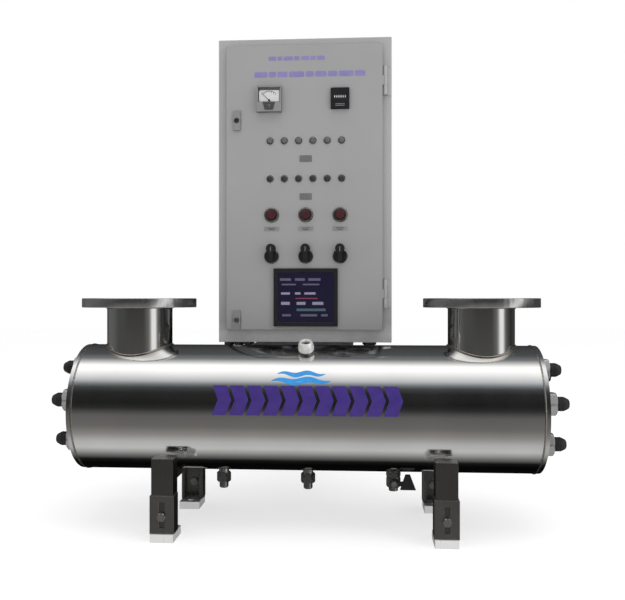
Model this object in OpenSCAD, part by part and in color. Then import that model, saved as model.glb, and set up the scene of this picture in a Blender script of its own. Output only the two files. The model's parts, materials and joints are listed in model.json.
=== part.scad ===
// Stainless steel ultraviolet water clarifier: a horizontal chamber with two flanged ports,
// six lamps in quartz sleeves, and its control cabinet on a bracket behind the chamber.
// The origin is on the floor, under the middle of the chamber. X runs along the chamber,
// -Y is the front and +Z is up.

/* [Chamber] */
// Outside diameter of the chamber tube
chamber_d = 219.1; // [216:0.1:222]
// Wall of the chamber tube
chamber_wall = 3; // [2:0.5:4]
// Length of the chamber over its end plates
chamber_len = 790; // [780:5:820]
// Height of the chamber axis above the floor
axis_z = 205; // [200:1:215]
// Thickness of an end plate
end_plate_t = 8; // [6:1:10]

/* [Water ports] */
// Distance from the middle of the chamber to a port
port_x = 302; // [300:1:310]
// Outside diameter of a port neck
neck_d = 114.3; // [108:0.1:116]
// Wall of a port neck
neck_wall = 3; // [2:0.5:4]
// Outside diameter of a flange
flange_d = 200; // [195:1:205]
// Thickness of a flange
flange_t = 16; // [12:1:18]
// Height of a flange face above the floor
flange_top_z = 397; // [390:1:405]
// Bolt circle of a flange
bolt_circle_d = 165; // [160:1:168]
// Diameter of a bolt hole in a flange
bolt_hole_d = 19; // [15:1:19]
// Number of bolt holes in a flange
bolt_count = 8; // [4:4:8]

/* [Lamps] */
// Number of lamps on the ring
lamp_count = 6; // [6:1:6]
// Radius of the ring of lamps
lamp_ring_r = 72; // [66:1:74]
// Angle of the first lamp above the front
lamp_first_angle = 15; // [13:1:17]
// Outside diameter of a quartz sleeve
sleeve_d = 20; // [19.5:0.1:20]
// Wall of a quartz sleeve
sleeve_wall = 1.5; // [1.2:0.1:1.5]
// Diameter of a lamp tube
lamp_d = 15; // [14:0.5:15.5]
// Size across the flats of a gland nut
gland_nut_af = 36; // [35:1:38]
// Length of a gland nut
gland_nut_len = 16; // [15:1:18]

/* [Stand] */
// Distance from the middle of the chamber to a leg
leg_x = 229.5; // [220:0.5:240]
// Distance from the chamber axis to the outer face of a leg
leg_face_y = 122; // [120:1:126]
// Width of a leg channel
leg_w = 36; // [34:1:40]
// Depth of a leg channel
leg_depth = 30; // [26:1:32]
// Thickness of a leg channel
leg_t = 4; // [3:0.5:5]
// Height of the top of a leg
leg_top_z = 135; // [130:1:140]
// Height of the shoe round the foot of a leg
shoe_h = 62; // [55:1:66]
// Radius of an anchor hole in a foot
anchor_hole_r = 5; // [4:0.5:6]

/* [Cabinet] */
// Width of the cabinet
cabinet_w = 340; // [340:1:342]
// Depth of the cabinet behind its door
cabinet_d = 182; // [180:1:200]
// Height of the cabinet
cabinet_h = 596; // [590:1:600]
// Height of the cabinet floor
cabinet_z = 311; // [310:1:312]
// Offset of the cabinet from the middle of the chamber
cabinet_x = -17; // [-18:1:-16]
// Sheet thickness of the cabinet
sheet_t = 1.5; // [1.2:0.1:1.5]
// Depth of the door pan
door_t = 16; // [16:0.5:17]
// Border of the cabinet frame beside and above the door
border = 18; // [18:0.5:19]
// Border of the cabinet frame under the door
border_low = 25; // [25:1:27]

/* [Controls] */
// Spacing of the indicator lamps
indicator_pitch = 27.8; // [26:0.1:28]
// Spacing of the buttons and selectors
switch_pitch = 66.5; // [60:0.5:68]
// Travel of a push button
button_travel = 4; // [2:0.5:5]
// Width of the display
display_w = 124; // [110:1:126]
// Height of the display
display_h = 112; // [100:1:113]

/* [Hidden] */
$fn = 64;
tight = 0.05;
loose = 0.08;
past = 1;

shell_r = chamber_d / 2;
shell_in_r = shell_r - chamber_wall;
half_len = chamber_len / 2;
neck_r = neck_d / 2;
neck_in_r = neck_r - neck_wall;
neck_top_z = flange_top_z - 3;

// Lamp ends, measured outward from the face of an end plate
socket_r = 14.8;
socket_out = 9;
socket_in = 12;
sleeve_r = sleeve_d / 2;
socket_bore_r = sleeve_r + 0.4;
sleeve_out = 20;
nut_start = 0.5;
nut_web_t = 2.5;
nut_web_start = nut_start + gland_nut_len - nut_web_t;
nut_bore_r = sleeve_r + 0.3;
seal_wire_r = (socket_r - sleeve_r - 2 * tight) / 2;
seal_ring_r = (socket_r + sleeve_r) / 2;
lamp_wall = 1;
base_r = sleeve_r - sleeve_wall - 0.2;
base_len = 18;
base_out = 16;
pin_circle_r = 4;
boot_r = 12;
boot_start = nut_start + gland_nut_len + 0.5;
boot_len = 14;
boot_tip_r = 7.5;
boot_tip_len = 7;
lead_r = 3;
lead_out = sleeve_out + lead_r + 3;

// Lamp leads behind the chamber
lead_bend_r = 14;
lead_row_y = 160;
lead_row_step = 22;
lead_riser_x = [-170, -150, -130];
lead_top_z = cabinet_z + 45;

// Small fittings on the chamber
bottom_port_x = [-150, 0, 150];
bottom_socket_r = 9;
bottom_socket_bore = 6.5;
bottom_socket_out = [14, 14, 9.5];
weld_reach = 2;
sight_tilt = 25;
sight_socket_r = 10;
sight_bore_r = 7;
sight_socket_tip = shell_r + 11;
sight_lens_t = 5;
sight_ring_r = 12.5;
sight_ring_out = 4;
sight_rim_t = 5;
plug_af = 22;
plug_grip = 7.5;
plug_hex_len = 17;
plug_boss_r = 8;
plug_boss_len = 11;

// Ball valve
valve_x = bottom_port_x[2];
valve_z = axis_z - shell_r - 19.5;
valve_af = 22;
valve_body_r = 12.5;
ball_r = 8;
valve_bore_r = 3;
seat_r = 4;
seat_drop = 0.8;
stem_r = 3;
stem_boss_r = 6;
stem_boss_y = 15;
stem_reach = 23;
lever_plate_t = 3;
lever_y = -17;
lever_nut_af = 10;
lever_nut_h = 4;

// Stand
saddle_t = 6;
saddle_low_z = 84;
saddle_top_z = leg_top_z - 4;
foot_t = 14;
foot_w = 38;
foot_front_y = leg_face_y + 4;
foot_back_y = 72;
shoe_t = 2;
shoe_gap = 0.1;
shoe_w = leg_w + 2 * (shoe_gap + shoe_t);
shoe_face_y = leg_face_y + shoe_gap + shoe_t;
shoe_slot_w = 9;
shoe_slot_ends = [24, foot_t + shoe_h - 10];
anchor_y = 86;

// M8 bolts
bolt_r = 4;
bolt_room_r = 4.3;
bolt_af = 13;
bolt_head_h = 5.3;
bolt_nut_h = 6;
bolt_tail = 2;
foot_bolt_z = 42;

// Cabinet bracket
shelf_t = 5;
shelf_half_w = 95;
shelf_front_y = 60;
shelf_back_y = 320;
gusset_x = 85;
gusset_t = 5;
gusset_front_y = 20;
gusset_back_y = shelf_back_y - 2;
shelf_bolt_x = 63;
shelf_bolt_y = [185, 300];

// Cabinet
door_gap = 2;
cabinet_left = cabinet_x - cabinet_w / 2;
cabinet_right = cabinet_x + cabinet_w / 2;
door_y = 127;
door_back_y = door_y + door_t;
frame_y = door_back_y + door_gap;
cabinet_back_y = frame_y + cabinet_d;
cabinet_top = cabinet_z + cabinet_h;
door_left = cabinet_left + border;
door_right = cabinet_right - border;
door_z0 = cabinet_z + border_low;
door_z1 = cabinet_top - border;
lip_side = border + 8;
lip_top = border + 9;
lip_low = border_low + 9;
gasket_w = 5.5;
gasket_inset = 2;
plate_y = cabinet_back_y - 10;
plate_t = 2;
rail_z = [400, 560];
ballast_z = 730;
duct_z = 480;
mount_edge = 25;
mount_boss_r = 6;
part_out = 7.55;
mains_gland_x = 110;
mains_gland_y = lead_row_y + lead_row_step;
gland_thread_r = 6.2;
mains_thread_r = 10.2;
gland_room = 0.1;
mains_bore_r = 5;
gland_spots = [for (x = lead_riser_x, y = [0, 1]) [x, lead_row_y + y * lead_row_step]];

// Hinges and locks
hinge_axis_x = door_right + 5;
hinge_axis_y = door_y + 11;
hinge_z = [door_z0 + 70, door_z1 - 70];
knuckle_r = 4.5;
knuckle_len = 18;
hinge_pin_r = 2;
hinge_leaf_t = 2.3;
lock_x = cabinet_x - 131;
lock_z = [355, 743];
lock_plate_w = 14;
lock_plate_h = 38;
lock_plate_t = 4;
lock_barrel_r = 8.5;
lock_core_r = 5;
lock_core_out = 5;
key_r = 3.2;
key_floor = 1;
cam_len = 25;
cam_w = 14;
cam_t = 2;
cam_y = frame_y + sheet_t + 1.2;

// Controls on the door
control_x = cabinet_x + 3.5;
meter_x = cabinet_x - 67;
hour_meter_x = cabinet_x + 70;
meter_z = 783;
meter_w = 48;
meter_h = 50;
meter_t = 12;
meter_barrel_r = 19;
meter_barrel_len = 30;
dial_w = 42;
dial_h = 28;
dial_rise = 8;
dial_depth = 6;
window_t = 1.5;
window_step = 0.2;
pivot_drop = 3;
hour_w = 36;
hour_h = 40;
hour_t = 7;
hour_slot_w = 26;
hour_slot_h = 9;
hour_slot_rise = 3;
hour_slot_depth = 2;
hour_body_inset = 6;
hour_body_len = 34;
indicator_z = [629.5, 703];
indicator_r = 5;
indicator_bezel_r = 7;
indicator_bezel_t = 3;
indicator_lens_r = indicator_r - 1;
indicator_lens_t = 2.5;
indicator_lens_in = 8;
indicator_len = 22;
switch_z = 559;
selector_z = 479;
switch_bezel_r = 14.5;
switch_bezel_t = 4;
switch_barrel_r = 11.1;
switch_core_r = 9;
switch_barrel_len = 30;
switch_floor_t = 2;
contact_w = 28;
contact_h = 42;
contact_t = 24;
handle_w = 9;
handle_low = -12;
handle_high = 14;
handle_start = 7;
handle_t = 12;
knob_r = 13;
display_z = 399;
display_t = 8;
display_body_inset = 10;
display_body_len = 30;
screen_border = 8;
screen_depth = 3;
screen_drop = 1;

// Runs from the face of the end plate outward at every lamp; side is 1 on the right, -1 on the left
module at_lamps(side) {
    for (i = [0 : lamp_count - 1]) {
        angle = lamp_first_angle + i * 360 / lamp_count;
        translate([side * half_len, -lamp_ring_r * cos(angle), axis_z + lamp_ring_r * sin(angle)])
            rotate([0, side * 90, 0])
                children();
    }
}

// Runs outward from the chamber axis, tilted from straight up towards the front
module on_chamber(x, tilt) {
    translate([x, 0, axis_z])
        rotate([tilt, 0, 0])
            children();
}

// Faces the front, with its base on the outside of the door
module on_door(x, z) {
    translate([x, door_y, z])
        rotate([90, 0, 0])
            children();
}

module tube(r, in_r, h) {
    difference() {
        cylinder(r = r, h = h);
        translate([0, 0, -past])
            cylinder(r = in_r, h = h + 2 * past);
    }
}

module hex_prism(flats, h) {
    cylinder(d = flats / cos(30), h = h, $fn = 6);
}

module plate(w, h, t) {
    translate([-w / 2, -h / 2, 0])
        cube([w, h, t]);
}

module chamber_solid(r) {
    translate([-half_len - past, 0, axis_z])
        rotate([0, 90, 0])
            cylinder(r = r, h = chamber_len + 2 * past);
}

module quarter_bend(r, bend) {
    rotate_extrude(angle = 90)
        translate([bend, 0])
            circle(r = r);
}

module chamber_shell() {
    tube_half = half_len - end_plate_t;
    color("silver")
        difference() {
            translate([-tube_half, 0, axis_z])
                rotate([0, 90, 0])
                    tube(shell_r, shell_in_r, 2 * tube_half);
            for (x = [-port_x, port_x])
                on_chamber(x, 0)
                    cylinder(r = neck_r + tight, h = chamber_d);
            for (x = bottom_port_x)
                on_chamber(x, 180)
                    cylinder(r = bottom_socket_r + tight, h = chamber_d);
            on_chamber(0, sight_tilt)
                cylinder(r = sight_socket_r + tight, h = chamber_d);
        }
}

module end_plates() {
    color("silver")
        for (side = [-1, 1])
            difference() {
                translate([side * half_len, 0, axis_z])
                    rotate([0, -side * 90, 0])
                        cylinder(r = shell_r, h = end_plate_t);
                at_lamps(side)
                    translate([0, 0, -end_plate_t - past])
                        cylinder(r = socket_r + tight, h = end_plate_t + 2 * past);
            }
}

module port_necks() {
    color("silver")
        for (x = [-port_x, port_x])
            difference() {
                translate([x, 0, axis_z])
                    tube(neck_r, neck_in_r, neck_top_z - axis_z);
                chamber_solid(shell_in_r);
            }
}

module flange(x) {
    translate([x, 0, flange_top_z - flange_t])
        difference() {
            tube(flange_d / 2, neck_r + tight, flange_t);
            for (i = [0 : bolt_count - 1])
                rotate([0, 0, (i + 0.5) * 360 / bolt_count])
                    translate([bolt_circle_d / 2, 0, -past])
                        cylinder(d = bolt_hole_d, h = flange_t + 2 * past);
        }
}

module inlet_flange() {
    color("silver")
        flange(-port_x);
}

module outlet_flange() {
    color("silver")
        flange(port_x);
}

module port_sockets() {
    socket_foot = shell_in_r - weld_reach;
    color("silver") {
        for (i = [0 : len(bottom_port_x) - 1])
            on_chamber(bottom_port_x[i], 180)
                translate([0, 0, socket_foot])
                    tube(bottom_socket_r, bottom_socket_bore, shell_r + bottom_socket_out[i] - socket_foot);
        on_chamber(0, sight_tilt)
            translate([0, 0, socket_foot])
                tube(sight_socket_r, sight_bore_r, sight_socket_tip - socket_foot);
    }
}

module lamp_sockets() {
    color("silver")
        for (side = [-1, 1])
            at_lamps(side)
                translate([0, 0, -socket_in])
                    tube(socket_r, socket_bore_r, socket_in + socket_out);
}

module gland_nuts() {
    color("lightgray")
        for (side = [-1, 1])
            at_lamps(side)
                difference() {
                    translate([0, 0, nut_start])
                        hex_prism(gland_nut_af, gland_nut_len);
                    translate([0, 0, nut_start - past])
                        cylinder(r = socket_r + loose, h = nut_web_start - nut_start + past);
                    translate([0, 0, nut_start])
                        cylinder(r = nut_bore_r, h = gland_nut_len + past);
                }
}

module sleeve_seals() {
    color("dimgray")
        for (side = [-1, 1])
            at_lamps(side)
                translate([0, 0, socket_out + seal_wire_r + tight])
                    rotate_extrude()
                        translate([seal_ring_r, 0])
                            circle(r = seal_wire_r, $fn = 24);
}

module quartz_sleeves() {
    color("lightcyan", 0.5)
        at_lamps(1)
            translate([0, 0, -chamber_len - sleeve_out])
                tube(sleeve_r, sleeve_r - sleeve_wall, chamber_len + 2 * sleeve_out);
}

module uv_lamps() {
    glass_half = half_len + base_out - base_len - tight;
    color("white", 0.6)
        at_lamps(1)
            translate([0, 0, -half_len - glass_half])
                tube(lamp_d / 2, lamp_d / 2 - lamp_wall, 2 * glass_half);
}

module lamp_bases() {
    pin_r = 1.1;
    pin_len = 3;
    color("ivory") {
        for (side = [-1, 1])
            at_lamps(side)
                translate([0, 0, base_out - base_len])
                    cylinder(r = base_r, h = base_len);
        at_lamps(-1)
            for (turn = [45 : 90 : 315])
                rotate([0, 0, turn])
                    translate([pin_circle_r, 0, base_out - past])
                        cylinder(r = pin_r, h = pin_len + past);
    }
}

// A rubber cup over the end of a sleeve
module sleeve_cup() {
    difference() {
        translate([0, 0, boot_start])
            union() {
                cylinder(r = boot_r, h = boot_len);
                translate([0, 0, boot_len])
                    cylinder(r1 = boot_r, r2 = boot_tip_r, h = boot_tip_len);
            }
        translate([0, 0, boot_start - past])
            cylinder(r = sleeve_r + tight, h = sleeve_out + loose - boot_start + past);
    }
}

module lamp_boots() {
    color("black")
        difference() {
            at_lamps(-1)
                sleeve_cup();
            for (i = [0 : lamp_count - 1])
                lead_start(i)
                    rotate([-90, 0, 0])
                        cylinder(r = lead_r + tight, h = boot_r + past);
        }
}

module sleeve_caps() {
    color("black")
        at_lamps(1)
            sleeve_cup();
}

// The place where lead i leaves its boot
module lead_start(i) {
    angle = lamp_first_angle + i * 360 / lamp_count;
    translate([-half_len - lead_out, -lamp_ring_r * cos(angle), axis_z + lamp_ring_r * sin(angle)])
        children();
}

// A lead runs back from its boot, turns along the chamber, and rises through its gland.
// Its bends are a hair thicker than the straights, which reach a little way into them.
module lamp_lead(start_y, lead_z, riser_x, row_y) {
    start_x = -half_len - lead_out;
    bend_wire_r = lead_r + 0.03;
    reach = 0.2;
    back_len = row_y - lead_bend_r - start_y + reach;
    along_len = riser_x - start_x - 2 * (lead_bend_r - reach);
    translate([start_x, start_y, lead_z])
        rotate([-90, 0, 0])
            cylinder(r = lead_r, h = back_len);
    translate([start_x + lead_bend_r, row_y - lead_bend_r, lead_z])
        mirror([1, 0, 0])
            quarter_bend(bend_wire_r, lead_bend_r);
    translate([start_x + lead_bend_r - reach, row_y, lead_z])
        rotate([0, 90, 0])
            cylinder(r = lead_r, h = along_len);
    translate([riser_x - lead_bend_r, row_y, lead_z + lead_bend_r])
        rotate([90, 0, 0])
            rotate([0, 0, -90])
                quarter_bend(bend_wire_r, lead_bend_r);
    translate([riser_x, row_y, lead_z + lead_bend_r - reach])
        cylinder(r = lead_r, h = lead_top_z - lead_z - lead_bend_r + reach);
}

// The highest leads turn up first, so that no lead crosses another
module lamp_leads() {
    // Lamps in order from the highest to the lowest
    lamp_by_height = [1, 2, 0, 3, 5, 4];
    color("dimgray")
        for (k = [0 : lamp_count - 1]) {
            angle = lamp_first_angle + lamp_by_height[k] * 360 / lamp_count;
            lamp_lead(
                -lamp_ring_r * cos(angle) + past,
                axis_z + lamp_ring_r * sin(angle),
                lead_riser_x[floor(k / 2)],
                lead_row_y + (k % 2) * lead_row_step
            );
        }
}

module sight_lens() {
    color("azure", 0.6)
        on_chamber(0, sight_tilt)
            translate([0, 0, sight_socket_tip + tight])
                cylinder(r = sight_socket_r, h = sight_lens_t);
}

module sight_ring() {
    ring_start = shell_r + sight_ring_out;
    lens_top = sight_socket_tip + sight_lens_t + 2 * tight;
    ring_end = lens_top + sight_rim_t;
    color("gainsboro")
        on_chamber(0, sight_tilt)
            difference() {
                translate([0, 0, ring_start])
                    cylinder(r = sight_ring_r, h = ring_end - ring_start);
                translate([0, 0, ring_start - past])
                    cylinder(r = sight_socket_r + tight, h = lens_top - ring_start + past);
                translate([0, 0, ring_start])
                    cylinder(r = sight_bore_r, h = ring_end - ring_start + past);
            }
}

module port_plugs() {
    color("gray")
        for (i = [0, 1])
            on_chamber(bottom_port_x[i], 180)
                translate([0, 0, shell_r + bottom_socket_out[i] - plug_grip])
                    difference() {
                        union() {
                            hex_prism(plug_af, plug_hex_len);
                            translate([0, 0, plug_hex_len - past])
                                cylinder(r = plug_boss_r, h = plug_boss_len + past);
                        }
                        translate([0, 0, -past])
                            cylinder(r = bottom_socket_r + tight, h = plug_grip + loose + past);
                    }
}

// Centre of the ball, with +X and +Z as in the whole object
module at_valve() {
    translate([valve_x, 0, valve_z])
        children();
}

module valve_body() {
    socket_tip = axis_z - shell_r - bottom_socket_out[2] - valve_z;
    collar_low = socket_tip - 1.5;
    collar_h = 9.5;
    body_low = -10;
    outlet_low = -16;
    outlet_r = 8;
    color("silver")
        at_valve()
            difference() {
                union() {
                    translate([0, 0, collar_low])
                        hex_prism(valve_af, collar_h);
                    translate([0, 0, body_low])
                        cylinder(r = valve_body_r, h = collar_low - body_low + past);
                    translate([0, 0, outlet_low])
                        cylinder(r = outlet_r, h = body_low - outlet_low + past);
                    rotate([90, 0, 0])
                        cylinder(r = stem_boss_r, h = stem_boss_y);
                }
                translate([0, 0, socket_tip - 2 * tight])
                    cylinder(r = bottom_socket_r + tight, h = collar_h);
                translate([0, 0, outlet_low - past])
                    cylinder(r = valve_bore_r, h = socket_tip - outlet_low + past);
                translate([0, 0, -ball_r - seat_drop])
                    cylinder(r = seat_r, h = ball_r);
                sphere(r = ball_r + loose);
                rotate([90, 0, 0])
                    cylinder(r = stem_r + loose, h = stem_boss_y + past);
            }
}

module valve_ball() {
    color("gainsboro")
        at_valve()
            difference() {
                union() {
                    sphere(r = ball_r);
                    rotate([90, 0, 0])
                        cylinder(r = stem_r, h = stem_reach);
                }
                rotate([0, 90, 0])
                    translate([0, 0, -ball_r - past])
                        cylinder(r = valve_bore_r, h = 2 * (ball_r + past));
            }
}

module valve_lever() {
    hub_r = 7;
    arm_len = 18;
    arm_h = 8;
    grip_out = 2;
    color("black")
        at_valve()
            translate([0, lever_y, 0])
                rotate([90, 0, 0])
                    difference() {
                        union() {
                            cylinder(r = hub_r, h = lever_plate_t);
                            translate([0, -arm_h / 2, 0])
                                cube([arm_len, arm_h, lever_plate_t]);
                            translate([0, 0, -grip_out])
                                linear_extrude(height = lever_plate_t + 2 * grip_out)
                                    polygon([
                                        [11, -10],
                                        [38, -10],
                                        [28, 16],
                                        [20, 16]
                                    ]);
                        }
                        translate([0, 0, -past])
                            cylinder(r = stem_r + tight, h = lever_plate_t + 2 * past);
                    }
}

module lever_nut() {
    color("silver")
        at_valve()
            translate([0, lever_y - lever_plate_t, 0])
                rotate([90, 0, 0])
                    difference() {
                        hex_prism(lever_nut_af, lever_nut_h);
                        translate([0, 0, -past])
                            cylinder(r = stem_r + tight, h = lever_nut_h + 2 * past);
                    }
}

module saddle_plates() {
    color("silver")
        difference() {
            for (x = [-leg_x, leg_x])
                translate([x - saddle_t / 2, -leg_face_y + leg_t, saddle_low_z])
                    cube([saddle_t, 2 * (leg_face_y - leg_t), saddle_top_z - saddle_low_z]);
            chamber_solid(shell_r + tight);
        }
}

module leg_channel(w, depth, t, face_y, low, top) {
    translate([-w / 2, -face_y, low])
        difference() {
            cube([w, depth, top - low]);
            translate([t, t, -past])
                cube([w - 2 * t, depth, top - low + 2 * past]);
        }
}

// Repeats a front foot at the four corners of the stand
module at_legs() {
    for (x = [-leg_x, leg_x])
        for (turn = [0, 180])
            translate([x, 0, 0])
                rotate([0, 0, turn])
                    children();
}

module legs() {
    color("silver")
        difference() {
            at_legs()
                leg_channel(leg_w, leg_depth, leg_t, leg_face_y, foot_t, leg_top_z);
            chamber_solid(shell_r + tight);
            at_legs()
                foot_bolt_hole();
        }
}

module foot_bolt_hole() {
    translate([0, -leg_face_y - past, foot_bolt_z])
        rotate([-90, 0, 0])
            cylinder(r = bolt_room_r, h = leg_t + 2 * past);
}

module foot_shoes() {
    slot_h = shoe_slot_ends[1] - shoe_slot_ends[0];
    color("gainsboro")
        difference() {
            at_legs()
                union() {
                    leg_channel(shoe_w, leg_depth - 2, shoe_t, shoe_face_y, foot_t - past, foot_t + shoe_h);
                    translate([-foot_w / 2, -foot_front_y, 0])
                        cube([foot_w, foot_front_y - foot_back_y, foot_t]);
                }
            at_legs()
                union() {
                    translate([0, -anchor_y, -past])
                        cylinder(r = anchor_hole_r, h = foot_t + 2 * past);
                    translate([-shoe_slot_w / 2, -shoe_face_y - past, shoe_slot_ends[0]])
                        cube([shoe_slot_w, shoe_t + 2 * past, slot_h]);
                }
        }
}

module hex_bolt(grip) {
    translate([0, 0, -bolt_head_h])
        hex_prism(bolt_af, bolt_head_h);
    translate([0, 0, -past])
        cylinder(r = bolt_r, h = grip + bolt_nut_h + past + bolt_tail);
    translate([0, 0, grip])
        hex_prism(bolt_af, bolt_nut_h);
}

module frame_bolts() {
    color("gainsboro") {
        at_legs()
            translate([0, -shoe_face_y - tight, foot_bolt_z])
                rotate([-90, 0, 0])
                    hex_bolt(shoe_t + shoe_gap + leg_t + 2 * tight);
        for (x = [-shelf_bolt_x, shelf_bolt_x], y = shelf_bolt_y)
            translate([cabinet_x + x, y, cabinet_z - shelf_t - tight])
                hex_bolt(shelf_t + sheet_t + 2 * tight);
    }
}

module cabinet_bracket() {
    color("silver")
        difference() {
            union() {
                translate([cabinet_x - shelf_half_w, shelf_front_y, cabinet_z - shelf_t])
                    cube([2 * shelf_half_w, shelf_back_y - shelf_front_y, shelf_t]);
                for (x = [-gusset_x, gusset_x])
                    translate([cabinet_x + x - gusset_t / 2, 0, 0])
                        rotate([90, 0, 90])
                            linear_extrude(height = gusset_t)
                                polygon([
                                    [gusset_front_y, axis_z + 45],
                                    [shelf_front_y, cabinet_z - past],
                                    [gusset_back_y, cabinet_z - past],
                                    [gusset_back_y, cabinet_z - 24],
                                    [shell_r + 4, axis_z - 80],
                                    [50, axis_z - 60]
                                ]);
            }
            chamber_solid(shell_r + tight);
            for (x = [-shelf_bolt_x, shelf_bolt_x], y = shelf_bolt_y)
                translate([cabinet_x + x, y, cabinet_z - shelf_t - past])
                    cylinder(r = bolt_room_r, h = shelf_t + 2 * past);
        }
}

module cabinet_body() {
    inner_w = cabinet_w - 2 * sheet_t;
    inner_h = cabinet_h - 2 * sheet_t;
    color("darkgray")
        difference() {
            translate([cabinet_left, frame_y, cabinet_z])
                cube([cabinet_w, cabinet_d, cabinet_h]);
            translate([cabinet_left + sheet_t, frame_y + sheet_t, cabinet_z + sheet_t])
                cube([inner_w, cabinet_d - 2 * sheet_t, inner_h]);
            translate([cabinet_left + lip_side, frame_y - past, cabinet_z + lip_low])
                cube([cabinet_w - 2 * lip_side, sheet_t + 2 * past, cabinet_h - lip_low - lip_top]);
            for (spot = gland_spots)
                translate([spot[0], spot[1], cabinet_z - past])
                    cylinder(r = gland_thread_r + gland_room, h = sheet_t + 2 * past);
            translate([mains_gland_x, mains_gland_y, cabinet_z - past])
                cylinder(r = mains_thread_r + gland_room, h = sheet_t + 2 * past);
            for (x = [-shelf_bolt_x, shelf_bolt_x], y = shelf_bolt_y)
                translate([cabinet_x + x, y, cabinet_z - past])
                    cylinder(r = bolt_room_r, h = sheet_t + 2 * past);
        }
}

// A gland hangs under the cabinet floor, with its lock nut inside
module cable_gland(thread_r, flats, bore_r) {
    hex_h = 6;
    dome_low = -14;
    thread_top = 8;
    lock_nut_h = 4;
    color("black")
        difference() {
            union() {
                translate([0, 0, -tight - hex_h])
                    hex_prism(flats, hex_h);
                translate([0, 0, dome_low])
                    cylinder(r = flats / 2 - 1, h = -dome_low - hex_h + past);
                translate([0, 0, -past])
                    cylinder(r = thread_r, h = thread_top + past);
                translate([0, 0, sheet_t + tight])
                    hex_prism(flats + 2, lock_nut_h);
            }
            translate([0, 0, dome_low - past])
                cylinder(r = bore_r, h = thread_top - dome_low + 2 * past);
        }
}

module cable_glands() {
    for (spot = gland_spots)
        translate([spot[0], spot[1], cabinet_z])
            cable_gland(gland_thread_r, 15, lead_r + tight);
    translate([mains_gland_x, mains_gland_y, cabinet_z])
        cable_gland(mains_thread_r, 24, mains_bore_r);
}

module mounting_plate() {
    plate_w = cabinet_w - 2 * mount_edge;
    plate_h = cabinet_h - 2 * mount_edge;
    boss_x = plate_w / 2 - 2 * mount_boss_r;
    color("lightgray") {
        translate([cabinet_x - plate_w / 2, plate_y - plate_t, cabinet_z + mount_edge])
            cube([plate_w, plate_t, plate_h]);
        for (x = [-boss_x, boss_x], z = [2 * mount_edge, cabinet_h - 2 * mount_edge])
            translate([cabinet_x + x, plate_y - past, cabinet_z + z])
                rotate([-90, 0, 0])
                    cylinder(r = mount_boss_r, h = cabinet_back_y - sheet_t - plate_y + past);
    }
}

module on_plate(x, z) {
    translate([cabinet_x + x, plate_y - plate_t, z])
        rotate([90, 0, 0])
            children();
}

module ballasts() {
    ballast_pitch = 44;
    ballast_w = 38;
    ballast_len = 200;
    ballast_t = 34;
    tab_w = 26;
    tab_len = 216;
    tab_t = 2;
    color("white")
        for (i = [0 : lamp_count - 1])
            on_plate((i - (lamp_count - 1) / 2) * ballast_pitch, ballast_z)
                union() {
                    plate(ballast_w, ballast_len, ballast_t);
                    plate(tab_w, tab_len, tab_t);
                }
}

module din_rails() {
    rail_len = 270;
    foot_h = 25;
    lip_h = 35;
    lip_t = 1.5;
    rail_depth = 7.5;
    color("lightgray")
        for (z = rail_z)
            on_plate(0, z)
                union() {
                    plate(rail_len, foot_h, rail_depth - past);
                    translate([0, 0, rail_depth - lip_t])
                        plate(rail_len, lip_h, lip_t);
                }
}

module circuit_breaker() {
    breaker_w = 36;
    body_t = 44;
    front_t = 66;
    color("whitesmoke")
        on_plate(-80, rail_z[1])
            translate([0, 0, part_out])
                union() {
                    plate(breaker_w, 84, body_t);
                    plate(breaker_w, 45, front_t);
                    translate([0, 3, front_t - past])
                        plate(breaker_w - 6, 8, 11);
                }
}

module contactor() {
    contactor_w = 45;
    color("dimgray")
        on_plate(-10, rail_z[1])
            translate([0, 0, part_out])
                union() {
                    plate(contactor_w, 74, 50);
                    plate(contactor_w, 50, 72);
                }
}

module terminal_blocks() {
    terminal_count = 14;
    terminal_pitch = 8;
    terminal_w = 7.6;
    row_x = 10;
    color("lightgray")
        for (i = [0 : terminal_count - 1])
            on_plate((i - (terminal_count - 1) / 2) * terminal_pitch + row_x, rail_z[0])
                translate([0, 0, part_out])
                    union() {
                        plate(terminal_w, 46, 28);
                        plate(terminal_w, 24, 40);
                    }
}

module wire_duct() {
    duct_w = 280;
    duct_h = 40;
    duct_t = 45;
    wall = 2;
    slot_pitch = 20;
    slot_w = 6;
    slot_low = 14;
    slot_t = 27;
    color("gray")
        on_plate(0, duct_z)
            difference() {
                plate(duct_w, duct_h, duct_t);
                translate([0, 0, wall])
                    plate(duct_w + 2 * past, duct_h - 2 * wall, duct_t - 2 * wall);
                for (x = [-duct_w / 2 + slot_pitch : slot_pitch : duct_w / 2 - slot_pitch])
                    translate([x, 0, slot_low])
                        plate(slot_w, duct_h + 2 * past, slot_t);
            }
}

// Three knuckles on one pin: the outer two belong to the frame, the middle one to the door
module at_hinges() {
    for (z = hinge_z)
        translate([hinge_axis_x, hinge_axis_y, z])
            children();
}

module hinge_leaves_fixed() {
    leaf_back = frame_y - hinge_axis_y;
    leaf_h = 3 * knuckle_len;
    leaf_w = 14;
    arm_w = 5;
    color("gray")
        at_hinges()
            difference() {
                union() {
                    translate([-2.5, leaf_back - hinge_leaf_t, -leaf_h / 2])
                        cube([leaf_w, hinge_leaf_t, leaf_h]);
                    for (side = [-1, 1])
                        translate([0, 0, side * knuckle_len - knuckle_len / 2]) {
                            cylinder(r = knuckle_r, h = knuckle_len - loose);
                            translate([0, 2, 0])
                                cube([arm_w, leaf_back - 3, knuckle_len - loose]);
                        }
                }
                translate([0, 0, -leaf_h])
                    cylinder(r = hinge_pin_r + tight, h = 2 * leaf_h);
            }
}

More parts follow.
